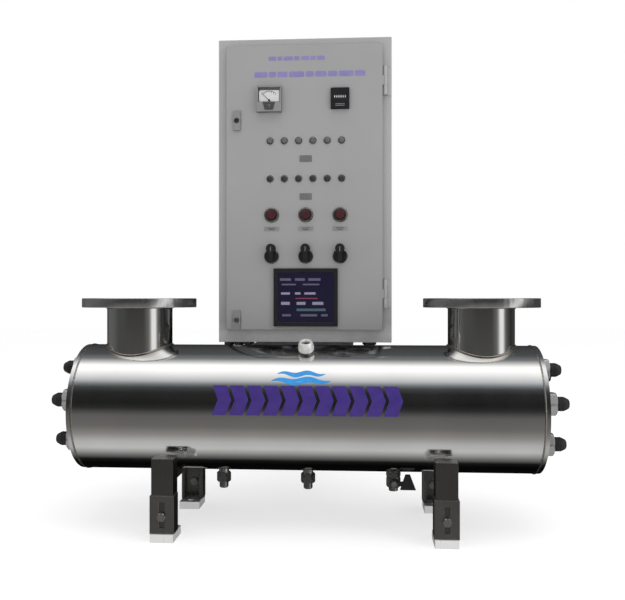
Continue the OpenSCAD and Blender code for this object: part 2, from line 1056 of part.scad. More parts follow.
module hinge_pins() {
    pin_len = 3 * knuckle_len + 1;
    pin_head_r = 3.5;
    pin_head_h = 2.5;
    color("lightgray")
        at_hinges()
            union() {
                translate([0, 0, -pin_len / 2])
                    cylinder(r = hinge_pin_r, h = pin_len);
                translate([0, 0, 1.5 * knuckle_len + tight])
                    cylinder(r = pin_head_r, h = pin_head_h);
            }
}

module hinge_leaves_door() {
    leaf_x = door_right - hinge_axis_x + tight;
    leaf_front = -9;
    leaf_depth = 12;
    middle_h = knuckle_len - 4 * loose;
    color("gray")
        at_hinges()
            difference() {
                union() {
                    translate([0, 0, -middle_h / 2])
                        cylinder(r = knuckle_r, h = middle_h);
                    translate([leaf_x, leaf_front, -middle_h / 2])
                        cube([2, leaf_depth, middle_h]);
                }
                translate([0, 0, -knuckle_len])
                    cylinder(r = hinge_pin_r + tight, h = 2 * knuckle_len);
            }
}

// Holes behind the instruments and switches, cut through the door sheet
module door_holes() {
    deep = 4 * sheet_t;
    room = 0.3;
    translate([0, 2 * sheet_t, 0]) {
        on_door(meter_x, meter_z)
            cylinder(r = meter_barrel_r + room, h = deep);
        on_door(hour_meter_x, meter_z)
            plate(hour_w - hour_body_inset + 1, hour_h - hour_body_inset + 1, deep);
        for (x = [-2.5 : 2.5], z = indicator_z)
            on_door(control_x + x * indicator_pitch, z)
                cylinder(r = indicator_r + room, h = deep);
        for (x = [-1 : 1], z = [switch_z, selector_z])
            on_door(control_x + x * switch_pitch, z)
                cylinder(r = switch_barrel_r + room, h = deep);
        on_door(control_x, display_z)
            plate(display_w - display_body_inset + 1, display_h - display_body_inset + 1, deep);
        for (z = lock_z)
            on_door(lock_x, z)
                cylinder(r = lock_barrel_r + room, h = deep);
    }
}

module door_panel() {
    door_w = door_right - door_left;
    door_h = door_z1 - door_z0;
    color("darkgray")
        difference() {
            translate([door_left, door_y, door_z0])
                cube([door_w, door_t, door_h]);
            translate([door_left + sheet_t, door_y + sheet_t, door_z0 + sheet_t])
                cube([door_w - 2 * sheet_t, door_t, door_h - 2 * sheet_t]);
            door_holes();
        }
}

module door_gasket() {
    gasket_y = door_y + sheet_t + loose;
    gasket_t = frame_y - loose - gasket_y;
    outer_w = door_right - door_left - 2 * gasket_inset;
    outer_h = door_z1 - door_z0 - 2 * gasket_inset;
    color("black")
        translate([door_left + gasket_inset, gasket_y, door_z0 + gasket_inset])
            difference() {
                cube([outer_w, gasket_t, outer_h]);
                translate([gasket_w, -past, gasket_w])
                    cube([outer_w - 2 * gasket_w, gasket_t + 2 * past, outer_h - 2 * gasket_w]);
            }
}

module lock_housings() {
    barrel_len = cam_y - 0.6 - door_y;
    color("dimgray")
        for (z = lock_z)
            on_door(lock_x, z)
                difference() {
                    union() {
                        plate(lock_plate_w, lock_plate_h, lock_plate_t);
                        translate([0, 0, -barrel_len])
                            cylinder(r = lock_barrel_r, h = barrel_len + past);
                    }
                    translate([0, 0, -barrel_len - past])
                        cylinder(r = lock_core_r + loose, h = barrel_len + lock_plate_t + 2 * past);
                }
}

// The core turns in its housing and carries the cam that catches behind the frame
module lock_core(z) {
    core_back = cam_y - door_y;
    color("silver")
        on_door(lock_x, z)
            difference() {
                union() {
                    translate([0, 0, -core_back - past])
                        cylinder(r = lock_core_r, h = core_back + past + lock_core_out);
                    translate([-cam_w / 2, -cam_w / 2, -core_back - cam_t])
                        cube([cam_w, cam_len + cam_w / 2, cam_t]);
                }
                translate([0, 0, key_floor])
                    cylinder(r = key_r, h = lock_core_out, $fn = 3);
            }
}

module lock_upper() {
    lock_core(lock_z[1]);
}

module lock_lower() {
    lock_core(lock_z[0]);
}

module meter_case() {
    color("darkslategray")
        on_door(meter_x, meter_z)
            difference() {
                union() {
                    plate(meter_w, meter_h, meter_t);
                    translate([0, 0, -meter_barrel_len])
                        cylinder(r = meter_barrel_r, h = meter_barrel_len + past);
                }
                translate([0, dial_rise, meter_t - dial_depth])
                    plate(dial_w, dial_h, dial_depth + past);
            }
}

module meter_window() {
    color("azure", 0.4)
        on_door(meter_x, meter_z)
            translate([0, dial_rise, meter_t - window_t - window_step])
                plate(dial_w - window_step, dial_h - window_step, window_t);
}

// The needle rests at the left end of its scale
module meter_needle() {
    hub_r = 2;
    hub_h = 3.5;
    needle_w = 1;
    needle_len = 20;
    tail_len = 3;
    color("black")
        on_door(meter_x, meter_z - pivot_drop)
            translate([0, 0, meter_t - dial_depth + tight])
                rotate([0, 0, 45])
                    union() {
                        cylinder(r = hub_r, h = hub_h);
                        translate([-needle_w / 2, -tail_len, hub_h - 1.5])
                            cube([needle_w, needle_len + tail_len, needle_w]);
                    }
}

module hour_meter() {
    color("black")
        on_door(hour_meter_x, meter_z)
            difference() {
                union() {
                    plate(hour_w, hour_h, hour_t);
                    translate([0, 0, -hour_body_len])
                        plate(hour_w - hour_body_inset, hour_h - hour_body_inset, hour_body_len + past);
                }
                translate([0, hour_slot_rise, hour_t - hour_slot_depth])
                    plate(hour_slot_w, hour_slot_h, hour_slot_depth + past);
            }
}

module at_indicators() {
    for (x = [-2.5 : 2.5], z = indicator_z)
        on_door(control_x + x * indicator_pitch, z)
            children();
}

module indicator_bezels() {
    color("dimgray")
        at_indicators()
            difference() {
                union() {
                    cylinder(r = indicator_bezel_r, h = indicator_bezel_t);
                    translate([0, 0, -indicator_len])
                        cylinder(r = indicator_r, h = indicator_len + past);
                }
                translate([0, 0, -indicator_lens_in - 2])
                    cylinder(r = indicator_lens_r + tight, h = 2 * indicator_lens_in);
            }
}

module indicator_lenses() {
    color("darkseagreen")
        at_indicators()
            union() {
                translate([0, 0, -indicator_lens_in])
                    cylinder(r = indicator_lens_r, h = indicator_lens_in + indicator_bezel_t + past);
                translate([0, 0, indicator_bezel_t + tight])
                    cylinder(r = indicator_r, h = indicator_lens_t);
            }
}

module switch_bezels() {
    color("dimgray")
        for (x = [-1 : 1], z = [switch_z, selector_z])
            on_door(control_x + x * switch_pitch, z)
                difference() {
                    union() {
                        cylinder(r = switch_bezel_r, h = switch_bezel_t);
                        translate([0, 0, -switch_barrel_len])
                            cylinder(r = switch_barrel_r, h = switch_barrel_len + past);
                    }
                    translate([0, 0, switch_floor_t - switch_barrel_len])
                        cylinder(r = switch_core_r + loose, h = switch_barrel_len + switch_bezel_t);
                }
}

module contact_blocks() {
    color("seagreen")
        for (x = [-1 : 1], z = [switch_z, selector_z])
            on_door(control_x + x * switch_pitch, z)
                translate([0, 0, -switch_barrel_len - contact_t - tight])
                    plate(contact_w, contact_h, contact_t);
}

module push_button(x) {
    button_back = switch_floor_t + button_travel + 2 - switch_barrel_len;
    button_tip = 12;
    color("firebrick")
        on_door(control_x + x * switch_pitch, switch_z)
            translate([0, 0, button_back])
                cylinder(r = switch_core_r, h = button_tip - button_back);
}

module button_left() {
    push_button(-1);
}

module button_middle() {
    push_button(0);
}

module button_right() {
    push_button(1);
}

module selector(x) {
    core_back = -20;
    color("black")
        on_door(control_x + x * switch_pitch, selector_z)
            union() {
                translate([0, 0, core_back])
                    cylinder(r = switch_core_r, h = switch_bezel_t + past - core_back);
                translate([0, 0, switch_bezel_t + tight])
                    cylinder(r = knob_r, h = handle_start + past - switch_bezel_t);
                translate([-handle_w / 2, handle_low, handle_start])
                    cube([handle_w, handle_high - handle_low, handle_t]);
                translate([0, handle_high, handle_start])
                    cylinder(r = handle_w, h = handle_t);
            }
}

module selector_left() {
    selector(-1);
}

module selector_middle() {
    selector(0);
}

module selector_right() {
    selector(1);
}

module display_case() {
    body_w = display_w - display_body_inset;
    body_h = display_h - display_body_inset;
    color("black")
        on_door(control_x, display_z)
            difference() {
                union() {
                    plate(display_w, display_h, display_t);
                    translate([0, 0, -display_body_len])
                        plate(body_w, body_h, display_body_len + past);
                }
                translate([0, 0, display_t - screen_depth])
                    plate(
                        display_w - 2 * screen_border,
                        display_h - 2 * screen_border,
                        screen_depth + past
                    );
            }
}

module display_screen() {
    color("midnightblue")
        on_door(control_x, display_z)
            translate([0, 0, display_t - screen_depth])
                plate(
                    display_w - 2 * screen_border - 2 * loose,
                    display_h - 2 * screen_border - 2 * loose,
                    screen_depth - screen_drop
                );
}

chamber_shell();
end_plates();
port_necks();
inlet_flange();
outlet_flange();
port_sockets();
lamp_sockets();
gland_nuts();
sleeve_seals();
quartz_sleeves();
uv_lamps();
lamp_bases();
lamp_boots();
sleeve_caps();
lamp_leads();
sight_lens();
sight_ring();
port_plugs();
valve_body();
valve_ball();
valve_lever();
lever_nut();
saddle_plates();
legs();
foot_shoes();
frame_bolts();
cabinet_bracket();
cabinet_body();
cable_glands();
mounting_plate();
ballasts();
din_rails();
circuit_breaker();
contactor();
terminal_blocks();
wire_duct();
hinge_leaves_fixed();
hinge_pins();
door_panel();
door_gasket();
hinge_leaves_door();
lock_housings();
lock_upper();
lock_lower();
meter_case();
meter_needle();
meter_window();
hour_meter();
indicator_bezels();
indicator_lenses();
switch_bezels();
contact_blocks();
button_left();
button_middle();
button_right();
selector_left();
selector_middle();
selector_right();
display_case();
display_screen();
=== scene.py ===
"""Looks of the ultraviolet water clarifier: finishes, turned and welded detail, door graphics,
wiring, floor, light and camera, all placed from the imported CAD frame.

Pieces are shaped in millimetres, +Z up, and place() brings them to the frame's metres."""

import json
import math
from statistics import fmean

import bmesh
import bpy
from mathutils import Matrix, Vector


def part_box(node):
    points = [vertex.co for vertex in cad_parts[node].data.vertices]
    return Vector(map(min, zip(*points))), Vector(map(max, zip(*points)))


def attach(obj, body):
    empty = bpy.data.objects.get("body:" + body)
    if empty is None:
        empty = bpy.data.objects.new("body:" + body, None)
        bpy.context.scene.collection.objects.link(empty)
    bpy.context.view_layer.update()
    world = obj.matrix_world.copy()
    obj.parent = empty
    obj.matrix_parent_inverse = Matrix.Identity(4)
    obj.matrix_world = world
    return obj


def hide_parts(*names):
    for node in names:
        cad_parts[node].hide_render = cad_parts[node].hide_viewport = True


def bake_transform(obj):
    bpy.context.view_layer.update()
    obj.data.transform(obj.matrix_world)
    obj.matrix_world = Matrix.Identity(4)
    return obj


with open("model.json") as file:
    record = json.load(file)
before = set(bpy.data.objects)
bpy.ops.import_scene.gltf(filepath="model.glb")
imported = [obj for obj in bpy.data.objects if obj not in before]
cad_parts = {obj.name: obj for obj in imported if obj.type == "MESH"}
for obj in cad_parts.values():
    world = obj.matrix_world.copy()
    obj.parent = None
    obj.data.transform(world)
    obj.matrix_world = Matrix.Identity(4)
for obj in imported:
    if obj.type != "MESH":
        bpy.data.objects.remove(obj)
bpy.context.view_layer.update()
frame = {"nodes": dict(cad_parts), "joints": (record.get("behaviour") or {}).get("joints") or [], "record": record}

NODES = frame["nodes"]
MOUNTS = {mount["name"]: mount for mount in frame["record"]["mounts"]}
JOINTS = {joint["name"]: joint for joint in frame["joints"]}
MM = 0.001
FRONT = Vector((0, -1, 0))
UP = Vector((0, 0, 1))

# A level camera, a little to the right of the middle
CAMERA_AZIMUTH = math.radians(3.7)
CAMERA_DISTANCE = 1.326
CAMERA_SIDE = 0.0078
CAMERA_HEIGHT = 0.394
CAMERA_LENS = 43.2


# ---------------------------------------------------------------- places from the frame

class Box:
    """The box round a CAD node, or round one of its solids, in millimetres."""

    def __init__(self, low, high):
        self.low, self.high = low / MM, high / MM
        self.mid, self.size = (self.low + self.high) / 2, self.high - self.low


def box_of(node):
    return Box(*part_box(node))


def pivot_of(joint):
    return Vector(JOINTS[joint]["pos_m"]) / MM


def solids(node):
    """The box of each separate solid of a CAD node, sorted by place."""
    mesh = bmesh.new()
    mesh.from_mesh(NODES[node].data)
    bmesh.ops.remove_doubles(mesh, verts=mesh.verts, dist=1e-6)
    seen, boxes = set(), []
    for first in mesh.verts:
        if first in seen:
            continue
        seen.add(first)
        island, waiting = [], [first]
        while waiting:
            vert = waiting.pop()
            island.append(vert.co.copy())
            for edge in vert.link_edges:
                other = edge.other_vert(vert)
                if other not in seen:
                    seen.add(other)
                    waiting.append(other)
        corners = [Vector([end(p[i] for p in island) for i in range(3)]) for end in (min, max)]
        boxes.append(Box(*corners))
    mesh.free()
    return sorted(boxes, key=lambda box: tuple(round(v, 1) for v in box.low))


def aim(origin, axis):
    """A frame at origin with local Z along axis; for the front, local X is +X and local Y is up."""
    z = Vector(axis).normalized()
    y = UP if abs(z.z) < 0.9 else Vector((0, 1, 0))
    x = y.cross(z).normalized()
    y = z.cross(x)
    turn = Matrix((x, y, z)).transposed().to_4x4()
    return Matrix.Translation(origin) @ turn


SHELL_R = box_of("chamber_shell").size.z / 2
AXIS_Z = box_of("chamber_shell").mid.z
DOOR = box_of("door_panel")


# ---------------------------------------------------------------- mesh building

def add_object(name, data):
    made = bpy.data.objects.new(name, data)
    bpy.context.scene.collection.objects.link(made)
    return made


def place(name, mesh, finish, body, stands_for=(), smooth=35):
    """Turns a bmesh into a piece of the object, and lets it ride on a body unless that is None."""
    bmesh.ops.recalc_face_normals(mesh, faces=mesh.faces)
    mesh.transform(Matrix.Scale(MM, 4))
    data = bpy.data.meshes.new(name)
    mesh.to_mesh(data)
    mesh.free()
    data.materials.append(finish)
    piece = add_object(name, data)
    data.shade_smooth()
    data.set_sharp_from_angle(angle=math.radians(smooth))
    if body:
        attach(piece, body)
    if stands_for:
        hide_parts(*stands_for)
    return piece


def round_corners(points, radius, steps=3):
    """A closed outline with each corner replaced by a short arc."""
    result = []
    for i, corner in enumerate(points):
        corner = Vector(corner)
        back = Vector(points[i - 1]) - corner
        ahead = Vector(points[(i + 1) % len(points)]) - corner
        reach = min(radius, back.length * 0.45, ahead.length * 0.45)
        start = corner + back.normalized() * reach
        end = corner + ahead.normalized() * reach
        for k in range(steps + 1):
            t = k / steps
            result.append((1 - t) ** 2 * start + 2 * t * (1 - t) * corner + t * t * end)
    return result


def circle(radius, height, segments):
    return [
        Vector((radius * math.cos(a), radius * math.sin(a), height))
        for a in (2 * math.pi * k / segments for k in range(segments))
    ]


def skin(mesh, pairs):
    """Faces between pairs of rings that have the same number of vertices."""
    for ring, after in pairs:
        for k in range(len(ring)):
            n = (k + 1) % len(ring)
            mesh.faces.new((ring[k], ring[n], after[n], after[k]))


def cap(mesh, where, height, ring):
    """Closes a ring with a fan about the axis."""
    tip = mesh.verts.new(where @ Vector((0, 0, height)))
    for k in range(len(ring)):
        mesh.faces.new((tip, ring[k], ring[(k + 1) % len(ring)]))


def quarter_round(radius, height, reach, rise, steps):
    """Outline points of a quarter of an ellipse, from its widest point up to its top."""
    return [
        (radius + reach * math.cos(a), height + rise * math.sin(a))
        for a in (math.pi / 2 * k / steps for k in range(steps + 1))
    ]


def lathe(mesh, where, outline, segments=48):
    """Turns a closed outline of (radius, height) about local Z."""
    rings = [[mesh.verts.new(where @ p) for p in circle(r, h, segments)] for r, h in outline]
    skin(mesh, zip(rings, rings[1:] + rings[:1]))


def lathe_solid(mesh, where, outline, segments=48):
    """Turns an open outline that starts and ends on the axis, so that the solid has no bore."""
    rings = [[mesh.verts.new(where @ p) for p in circle(r, h, segments)] for r, h in outline[1:-1]]
    skin(mesh, zip(rings, rings[1:]))
    cap(mesh, where, outline[0][1], rings[0])
    cap(mesh, where, outline[-1][1], rings[-1])


def hexagon(mesh, where, flats, low, high, bore):
    """A hexagon nut from low to high along local Z, its corners cut back by a cone."""
    segments, half = 72, flats / 2
    slope = math.tan(math.radians(30)) * 1.6
    drop = (half / math.cos(math.radians(30)) - half) * slope
    rise = [0, drop * 0.2, drop * 0.45, drop * 0.7, drop]
    heights = [low + r for r in rise] + [high - r for r in reversed(rise)]

    def ring_at(h):
        reach = half + min(h - low, high - h, drop) / slope
        ring = []
        for k in range(segments):
            angle = 2 * math.pi * k / segments
            off = (angle + math.pi / 6) % (math.pi / 3) - math.pi / 6
            side = half / math.cos(off)
            r = min(side, reach)
            ring.append(Vector((r * math.sin(angle), r * math.cos(angle), h)))
        return ring

    rows = [ring_at(h) for h in heights]
    for h in (high, low):
        rows.append([Vector((p.x, p.y, 0)).normalized() * bore + Vector((0, 0, h)) for p in rows[0]])
    rings = [[mesh.verts.new(where @ p) for p in row] for row in rows]
    skin(mesh, zip(rings, rings[1:] + rings[:1]))


def sweep(mesh, points, radius, sides=10, closed=False, ripple=0.0, ripples=0):
    """A round tube along points; ripple makes it swell and shrink, as a weld bead does."""
    count = len(points)
    rings, side = [], None
    for i, point in enumerate(points):
        after = points[(i + 1) % count] if closed or i < count - 1 else point
        before = points[i - 1] if closed or i > 0 else point
        along = (after - before).normalized()
        if side is None:
            side = along.orthogonal().normalized()
        side = (side - along * side.dot(along)).normalized()
        other = along.cross(side)
        r = radius * (1 + ripple * math.sin(2 * math.pi * ripples * i / count))
        rings.append([
            mesh.verts.new(
                point + side * (r * math.cos(2 * math.pi * k / sides))
                + other * (r * math.sin(2 * math.pi * k / sides))
            )
            for k in range(sides)
        ])
    pairs = list(zip(rings, rings[1:]))
    if closed:
        last, first = rings[-1], rings[0]
        shift = min(range(sides), key=lambda s: (last[0].co - first[s].co).length)
        pairs.append((last, first[shift:] + first[:shift]))
    skin(mesh, pairs)
    if not closed:
        mesh.faces.new(rings[0])
        mesh.faces.new(list(reversed(rings[-1])))


def curve_through(points, steps=8):
    """Points along a smooth curve through the given ones."""
    knots = [Vector(p) for p in points]
    knots = [knots[0] * 2 - knots[1]] + knots + [knots[-1] * 2 - knots[-2]]
    result = []
    for i in range(1, len(knots) - 2):
        a, b, c, d = knots[i - 1], knots[i], knots[i + 1], knots[i + 2]
        for k in range(steps):
            t = k / steps
            result.append(0.5 * (
                2 * b + (c - a) * t + (2 * a - 5 * b + 4 * c - d) * t ** 2
                + (3 * b - a - 3 * c + d) * t ** 3
            ))
    result.append(knots[-2])
    return result


def ribbon(mesh, pairs, lift, thickness):
    """A thin closed strip between pairs of points, raised along lift."""
    lower, upper = [], []
    for pair in pairs:
        lower.append([mesh.verts.new(p) for p in pair])
        upper.append([mesh.verts.new(p + lift(p) * thickness) for p in pair])
    for i in range(len(pairs) - 1):
        (a, b), (c, d) = lower[i], lower[i + 1]
        (e, f), (g, h) = upper[i], upper[i + 1]
        mesh.faces.new((a, c, d, b))
        mesh.faces.new((e, f, h, g))
        mesh.faces.new((a, e, g, c))
        mesh.faces.new((b, d, h, f))
    for low, high in ((lower[0], upper[0]), (lower[-1], upper[-1])):
        mesh.faces.new((low[0], low[1], high[1], high[0]))


def plate(mesh, where, outline, thickness, base=0.0):
    """A flat plate of any outline, standing off where along local Z."""
    low, high = (
        [mesh.verts.new(where @ Vector((p[0], p[1], z))) for p in outline]
        for z in (base, base + thickness)
    )
    mesh.faces.new(low)
    mesh.faces.new(list(reversed(high)))
    skin(mesh, [(low, high)])


def slab(mesh, where, width, height, thickness, corner=0.0, base=0.0):
    """A rectangular plate with rounded corners, centred on where."""
    w, h = width / 2, height / 2
    outline = [(w, h), (-w, h), (-w, -h), (w, -h)]
    plate(mesh, where, round_corners(outline, corner, 4) if corner else outline, thickness, base)


def wire(mesh, points, radius):
    sweep(mesh, curve_through(points, 6), radius, 8)


# ---------------------------------------------------------------- finishes

class Nodes:
    """Small steps for putting a node tree together."""

    def __init__(self, tree):
        self.tree = tree

    def node(self, kind, **settings):
        made = self.tree.nodes.new(kind)
        for key, value in settings.items():
            setattr(made, key, value)
        return made

    def link(self, source, target):
        self.tree.links.new(source, target)

    def feed(self, socket, value):
        if isinstance(value, bpy.types.NodeSocket):
            self.link(value, socket)
        elif socket.type == "RGBA":
            socket.default_value = (*value[:3], 1)
        else:
            socket.default_value = value

    def math(self, operation, first, second=0.0):
        made = self.node("ShaderNodeMath", operation=operation)
        for socket, value in zip(made.inputs, (first, second)):
            self.feed(socket, value)
        return made.outputs[0]

    def spread(self, source, low, high, start=0.3, end=0.7):
        """Maps source from start..end to low..high."""
        made = self.node("ShaderNodeMapRange")
        names = ("Value", "From Min", "From Max", "To Min", "To Max")
        for name, value in zip(names, (source, start, end, low, high)):
            self.feed(made.inputs[name], value)
        return made.outputs["Result"]

    def mix(self, amount, first, second):
        made = self.node("ShaderNodeMix", data_type="RGBA")
        for name, value in (("Factor", amount), ("A", first), ("B", second)):
            kind = "VALUE" if name == "Factor" else "RGBA"
            self.feed(next(s for s in made.inputs if s.name == name and s.type == kind), value)
        return next(s for s in made.outputs if s.type == "RGBA")


class Finish(Nodes):
    """A procedural material in the object's own metres."""

    def __init__(self, name, color, metallic=0.0, roughness=0.5):
        self.material = bpy.data.materials.new(name)
        self.material.use_nodes = True
        self.material.diffuse_color = (*color, 1)
        super().__init__(self.material.node_tree)
        self.surface = self.tree.nodes["Principled BSDF"]
        self.put("Base Color", color)
        self.put("Metallic", metallic)
        self.put("Roughness", roughness)
        self.object_place = self.node("ShaderNodeTexCoord").outputs["Object"]
        self.normal = None

    def put(self, socket, value):
        self.feed(self.surface.inputs[socket], value)

    def noise(self, scale, detail=3.0, stretch=(1, 1, 1)):
        mapping = self.node("ShaderNodeMapping")
        mapping.inputs["Scale"].default_value = stretch
        self.link(self.object_place, mapping.inputs["Vector"])
        made = self.node("ShaderNodeTexNoise")
        made.inputs["Scale"].default_value = scale
        made.inputs["Detail"].default_value = detail
        self.link(mapping.outputs["Vector"], made.inputs["Vector"])
        return made.outputs["Fac"]

    def axis(self, index):
        split = self.node("ShaderNodeSeparateXYZ")
        self.link(self.object_place, split.inputs[0])
        return split.outputs[index]

    def off_port_axis(self):
        """Distance from the upright axis of the nearer port."""
        port_x = MOUNTS["outlet_bore"]["pos_m"][0]
        off = self.math("SUBTRACT", self.math("ABSOLUTE", self.axis(0)), port_x)
        across = self.axis(1)
        squares = [self.math("MULTIPLY", side, side) for side in (off, across)]
        return self.math("SQRT", self.math("ADD", *squares))

    def rough(self, scale, low, high, detail=3.0):
        """Roughness that drifts between low and high."""
        self.put("Roughness", self.spread(self.noise(scale, detail), low, high))

    def grain(self, scale, depth, strength, detail=2.0):
        self.bump(self.noise(scale, detail), depth, strength)

    def bump(self, height, depth, strength):
        made = self.node("ShaderNodeBump")
        made.inputs["Distance"].default_value = depth
        made.inputs["Strength"].default_value = strength
        self.link(height, made.inputs["Height"])
        if self.normal:
            self.link(self.normal, made.inputs["Normal"])
        self.normal = made.outputs["Normal"]
        self.put("Normal", self.normal)


def tinted(finish, color, amount, scale):
    """Lets the colour drift a little across the surface."""
    darker = [c * (1 - amount) for c in color]
    lighter = [min(1.0, c * (1 + amount)) for c in color]
    drift = finish.mix(finish.spread(finish.noise(scale), 0, 1), darker, lighter)
    finish.put("Base Color", drift)
    return drift


def polished_steel(name, lines_along, color=(0.80, 0.795, 0.785)):
    """Buffed stainless steel: soft smears, and fine polishing lines across lines_along."""
    finish = Finish(name, color, metallic=1.0)
    tinted(finish, color, 0.04, 9)
    stretch = [900 if k == lines_along else 9 for k in range(3)]
    lines = finish.noise(1.0, 2.0, stretch)
    smears = finish.noise(16, 4.0)
    base = finish.spread(smears, 0.07, 0.13)
    finish.put("Roughness", finish.math("ADD", base, finish.spread(lines, -0.01, 0.02)))
    finish.bump(lines, 0.00002, 0.35)
    return finish


def chamber_steel():
    """The chamber's steel, with a pickled band and heat tint beside each neck weld."""
    color = (0.80, 0.795, 0.785)
    finish = polished_steel("chamber_steel", 0, color)
    neck_r = box_of("port_necks").size.y / 2 * MM
    gap = finish.math("SUBTRACT", finish.off_port_axis(), neck_r)
    upper = finish.spread(finish.axis(2), 0, 1, AXIS_Z * MM, (AXIS_Z + 20) * MM)
    wobble = finish.spread(finish.noise(60), -2 * MM, 2 * MM)
    near = finish.spread(finish.math("ADD", gap, wobble), 1, 0, 2 * MM, 13 * MM)
    near = finish.math("MULTIPLY", near, upper)
    drift = finish.surface.inputs["Base Color"].links[0].from_socket
    finish.put("Base Color", finish.mix(finish.math("MULTIPLY", near, 0.45), drift, (0.42, 0.33, 0.22)))
    rough = finish.surface.inputs["Roughness"].links[0].from_socket
    finish.put("Roughness", finish.math("ADD", rough, finish.math("MULTIPLY", near, 0.18)))
    return finish.material


def satin_steel(name, color, low=0.24, high=0.38, stretch=(30, 30, 500), metallic=1.0):
    finish = Finish(name, color, metallic=metallic)
    tinted(finish, color, 0.08, 22)
    grain = finish.noise(1.0, 3.0, stretch)
    finish.put("Roughness", finish.spread(grain, low, high))
    finish.bump(grain, 0.00004, 0.4)
    finish.grain(140, 0.00003, 0.3, 3.0)
    return finish.material


def flange_steel():
    """Faced steel: fine turned rings on the flange about its own axis."""
    color = (0.72, 0.715, 0.705)
    finish = Finish("flange_steel", color, metallic=1.0)
    tinted(finish, color, 0.07, 25)
    turned = finish.math("SINE", finish.math("MULTIPLY", finish.off_port_axis(), 7000.0))
    finish.rough(35, 0.26, 0.36)
    finish.bump(turned, 0.00002, 0.5)
    finish.grain(220, 0.00003, 0.3)
    return finish.material


def shoe_steel():
    """The adjustable shoes: dark brushed steel, with a bright machined foot block."""
    color = (0.36, 0.356, 0.35)
    finish = Finish("shoe_steel", color, metallic=1.0)
    drift = tinted(finish, color, 0.08, 22)
    foot = finish.spread(finish.axis(2), 1, 0, 13.5 * MM, 14.5 * MM)
    finish.put("Base Color", finish.mix(foot, drift, (0.86, 0.86, 0.85)))
    finish.put("Metallic", finish.math("SUBTRACT", 1.0, finish.math("MULTIPLY", foot, 0.6)))
    grain = finish.noise(1.0, 3.0, (300, 300, 6))
    finish.put("Roughness", finish.spread(grain, 0.26, 0.4))
    finish.bump(grain, 0.00004, 0.4)
    return finish.material


def weld_steel():
    color = (0.46, 0.44, 0.41)
    finish = Finish("weld_steel", color, metallic=1.0)
    heat = finish.spread(finish.noise(90, 3.0), 0, 1)
    finish.put("Base Color", finish.mix(heat, (0.50, 0.49, 0.47), (0.33, 0.28, 0.23)))
    finish.rough(400, 0.25, 0.5, 2.0)
    finish.grain(700, 0.0001, 0.4)
    return finish.material


def cabinet_paint(name, color, top=1.0, bottom=1.0):
    """Powder coat: fine orange peel, slight drift, a little grime towards the bottom edge; top and bottom scale
    the colour near those edges, as painted shade where below 1 and painted light where above 1.
    """
    finish = Finish(name, color, roughness=0.45)
    drift = tinted(finish, color, 0.035, 5)
    low, high = (corner.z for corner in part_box("cabinet_body"))
    # Painted shade and light: the colour is scaled by top near the top edge and by bottom near the bottom edge,
    # for how the light falls there
    ends = ((top, high - 34 * MM, high - 14 * MM), (bottom, low + 40 * MM, low + 18 * MM))
    for share, start, end in ends:
        if share != 1.0:
            amount = finish.spread(finish.axis(2), 0, 1, start, end)
            drift = finish.mix(amount, drift, [c * share for c in color])
    grime = finish.spread(finish.axis(2), 1, 0, low, low + 90 * MM)
    speckle = finish.spread(finish.noise(45, 4.0), 0, 0.28, 0.42, 0.75)
    amount = finish.math("MULTIPLY", grime, speckle)
    finish.put("Base Color", finish.mix(amount, drift, (0.22, 0.21, 0.19)))
    finish.rough(30, 0.40, 0.56)
    finish.grain(900, 0.00006, 0.35)
    finish.grain(60, 0.0002, 0.06)
    finish.put("Coat Weight", 0.12)
    return finish.material


def moulded(name, color, low=0.3, high=0.5, grain=1500, depth=0.00004, drift=0.08):
    """Moulded plastic or rubber with a fine grain."""
    finish = Finish(name, color)
    tinted(finish, color, drift, 40)
    finish.rough(70, low, high)
    finish.grain(grain, depth, 0.5)
    return finish.material


def clear(name, color, roughness=0.02, ior=1.46):
    finish = Finish(name, color, roughness=roughness)
    finish.put("Transmission Weight", 1.0)
    finish.put("IOR", ior)
    finish.rough(50, roughness, roughness + 0.05)
    cloud = finish.spread(finish.noise(30), 0, 1)
    finish.put("Base Color", finish.mix(cloud, color, [c * 0.97 for c in color]))
    return finish.material


def glowing(name, color, strength):
    finish = Finish(name, color, roughness=0.4)
    flicker = finish.spread(finish.noise(300, 2.0), 0.75, 1.0)
    finish.put("Emission Color", color)
    finish.put("Emission Strength", finish.math("MULTIPLY", flicker, strength))
    finish.rough(200, 0.3, 0.5)
    return finish.material


def ink(name, color):
    finish = Finish(name, color)
    tinted(finish, color, 0.1, 60)
    finish.rough(90, 0.35, 0.55)
    finish.grain(1200, 0.00003, 0.3)
    return finish.material


STEEL = chamber_steel()
NECK_STEEL = polished_steel("neck_steel", 2, (0.70, 0.695, 0.685)).material
PLATE_STEEL = satin_steel("plate_steel", (0.70, 0.695, 0.685), 0.16, 0.28, (60, 60, 60))
FLANGE_STEEL = flange_steel()
SATIN_STEEL = satin_steel("satin_steel", (0.56, 0.555, 0.545))
LEG_STEEL = satin_steel("leg_steel", (0.24, 0.237, 0.23), 0.2, 0.34, (300, 300, 6))
SIGHT_STEEL = satin_steel("sight_steel", (0.86, 0.86, 0.85), 0.2, 0.32, (60, 60, 60), 0.5)
DARK_STEEL = satin_steel("dark_steel", (0.30, 0.295, 0.285), 0.22, 0.36, (120, 120, 120))
SHOE_STEEL = shoe_steel()
ZINC = satin_steel("zinc_plate", (0.58, 0.58, 0.57), 0.28, 0.42, (120, 120, 120))
WELD = weld_steel()
PAINT = cabinet_paint("door_paint", (0.272, 0.271, 0.270))
# Body paint: a lighter copy of the door paint, as painted light on the lips the door shades, with painted shade at
# its top edge and painted light at its bottom edge
BODY_PAINT = cabinet_paint("body_paint_painted_light", (0.345, 0.344, 0.343), 0.95, 1.4)
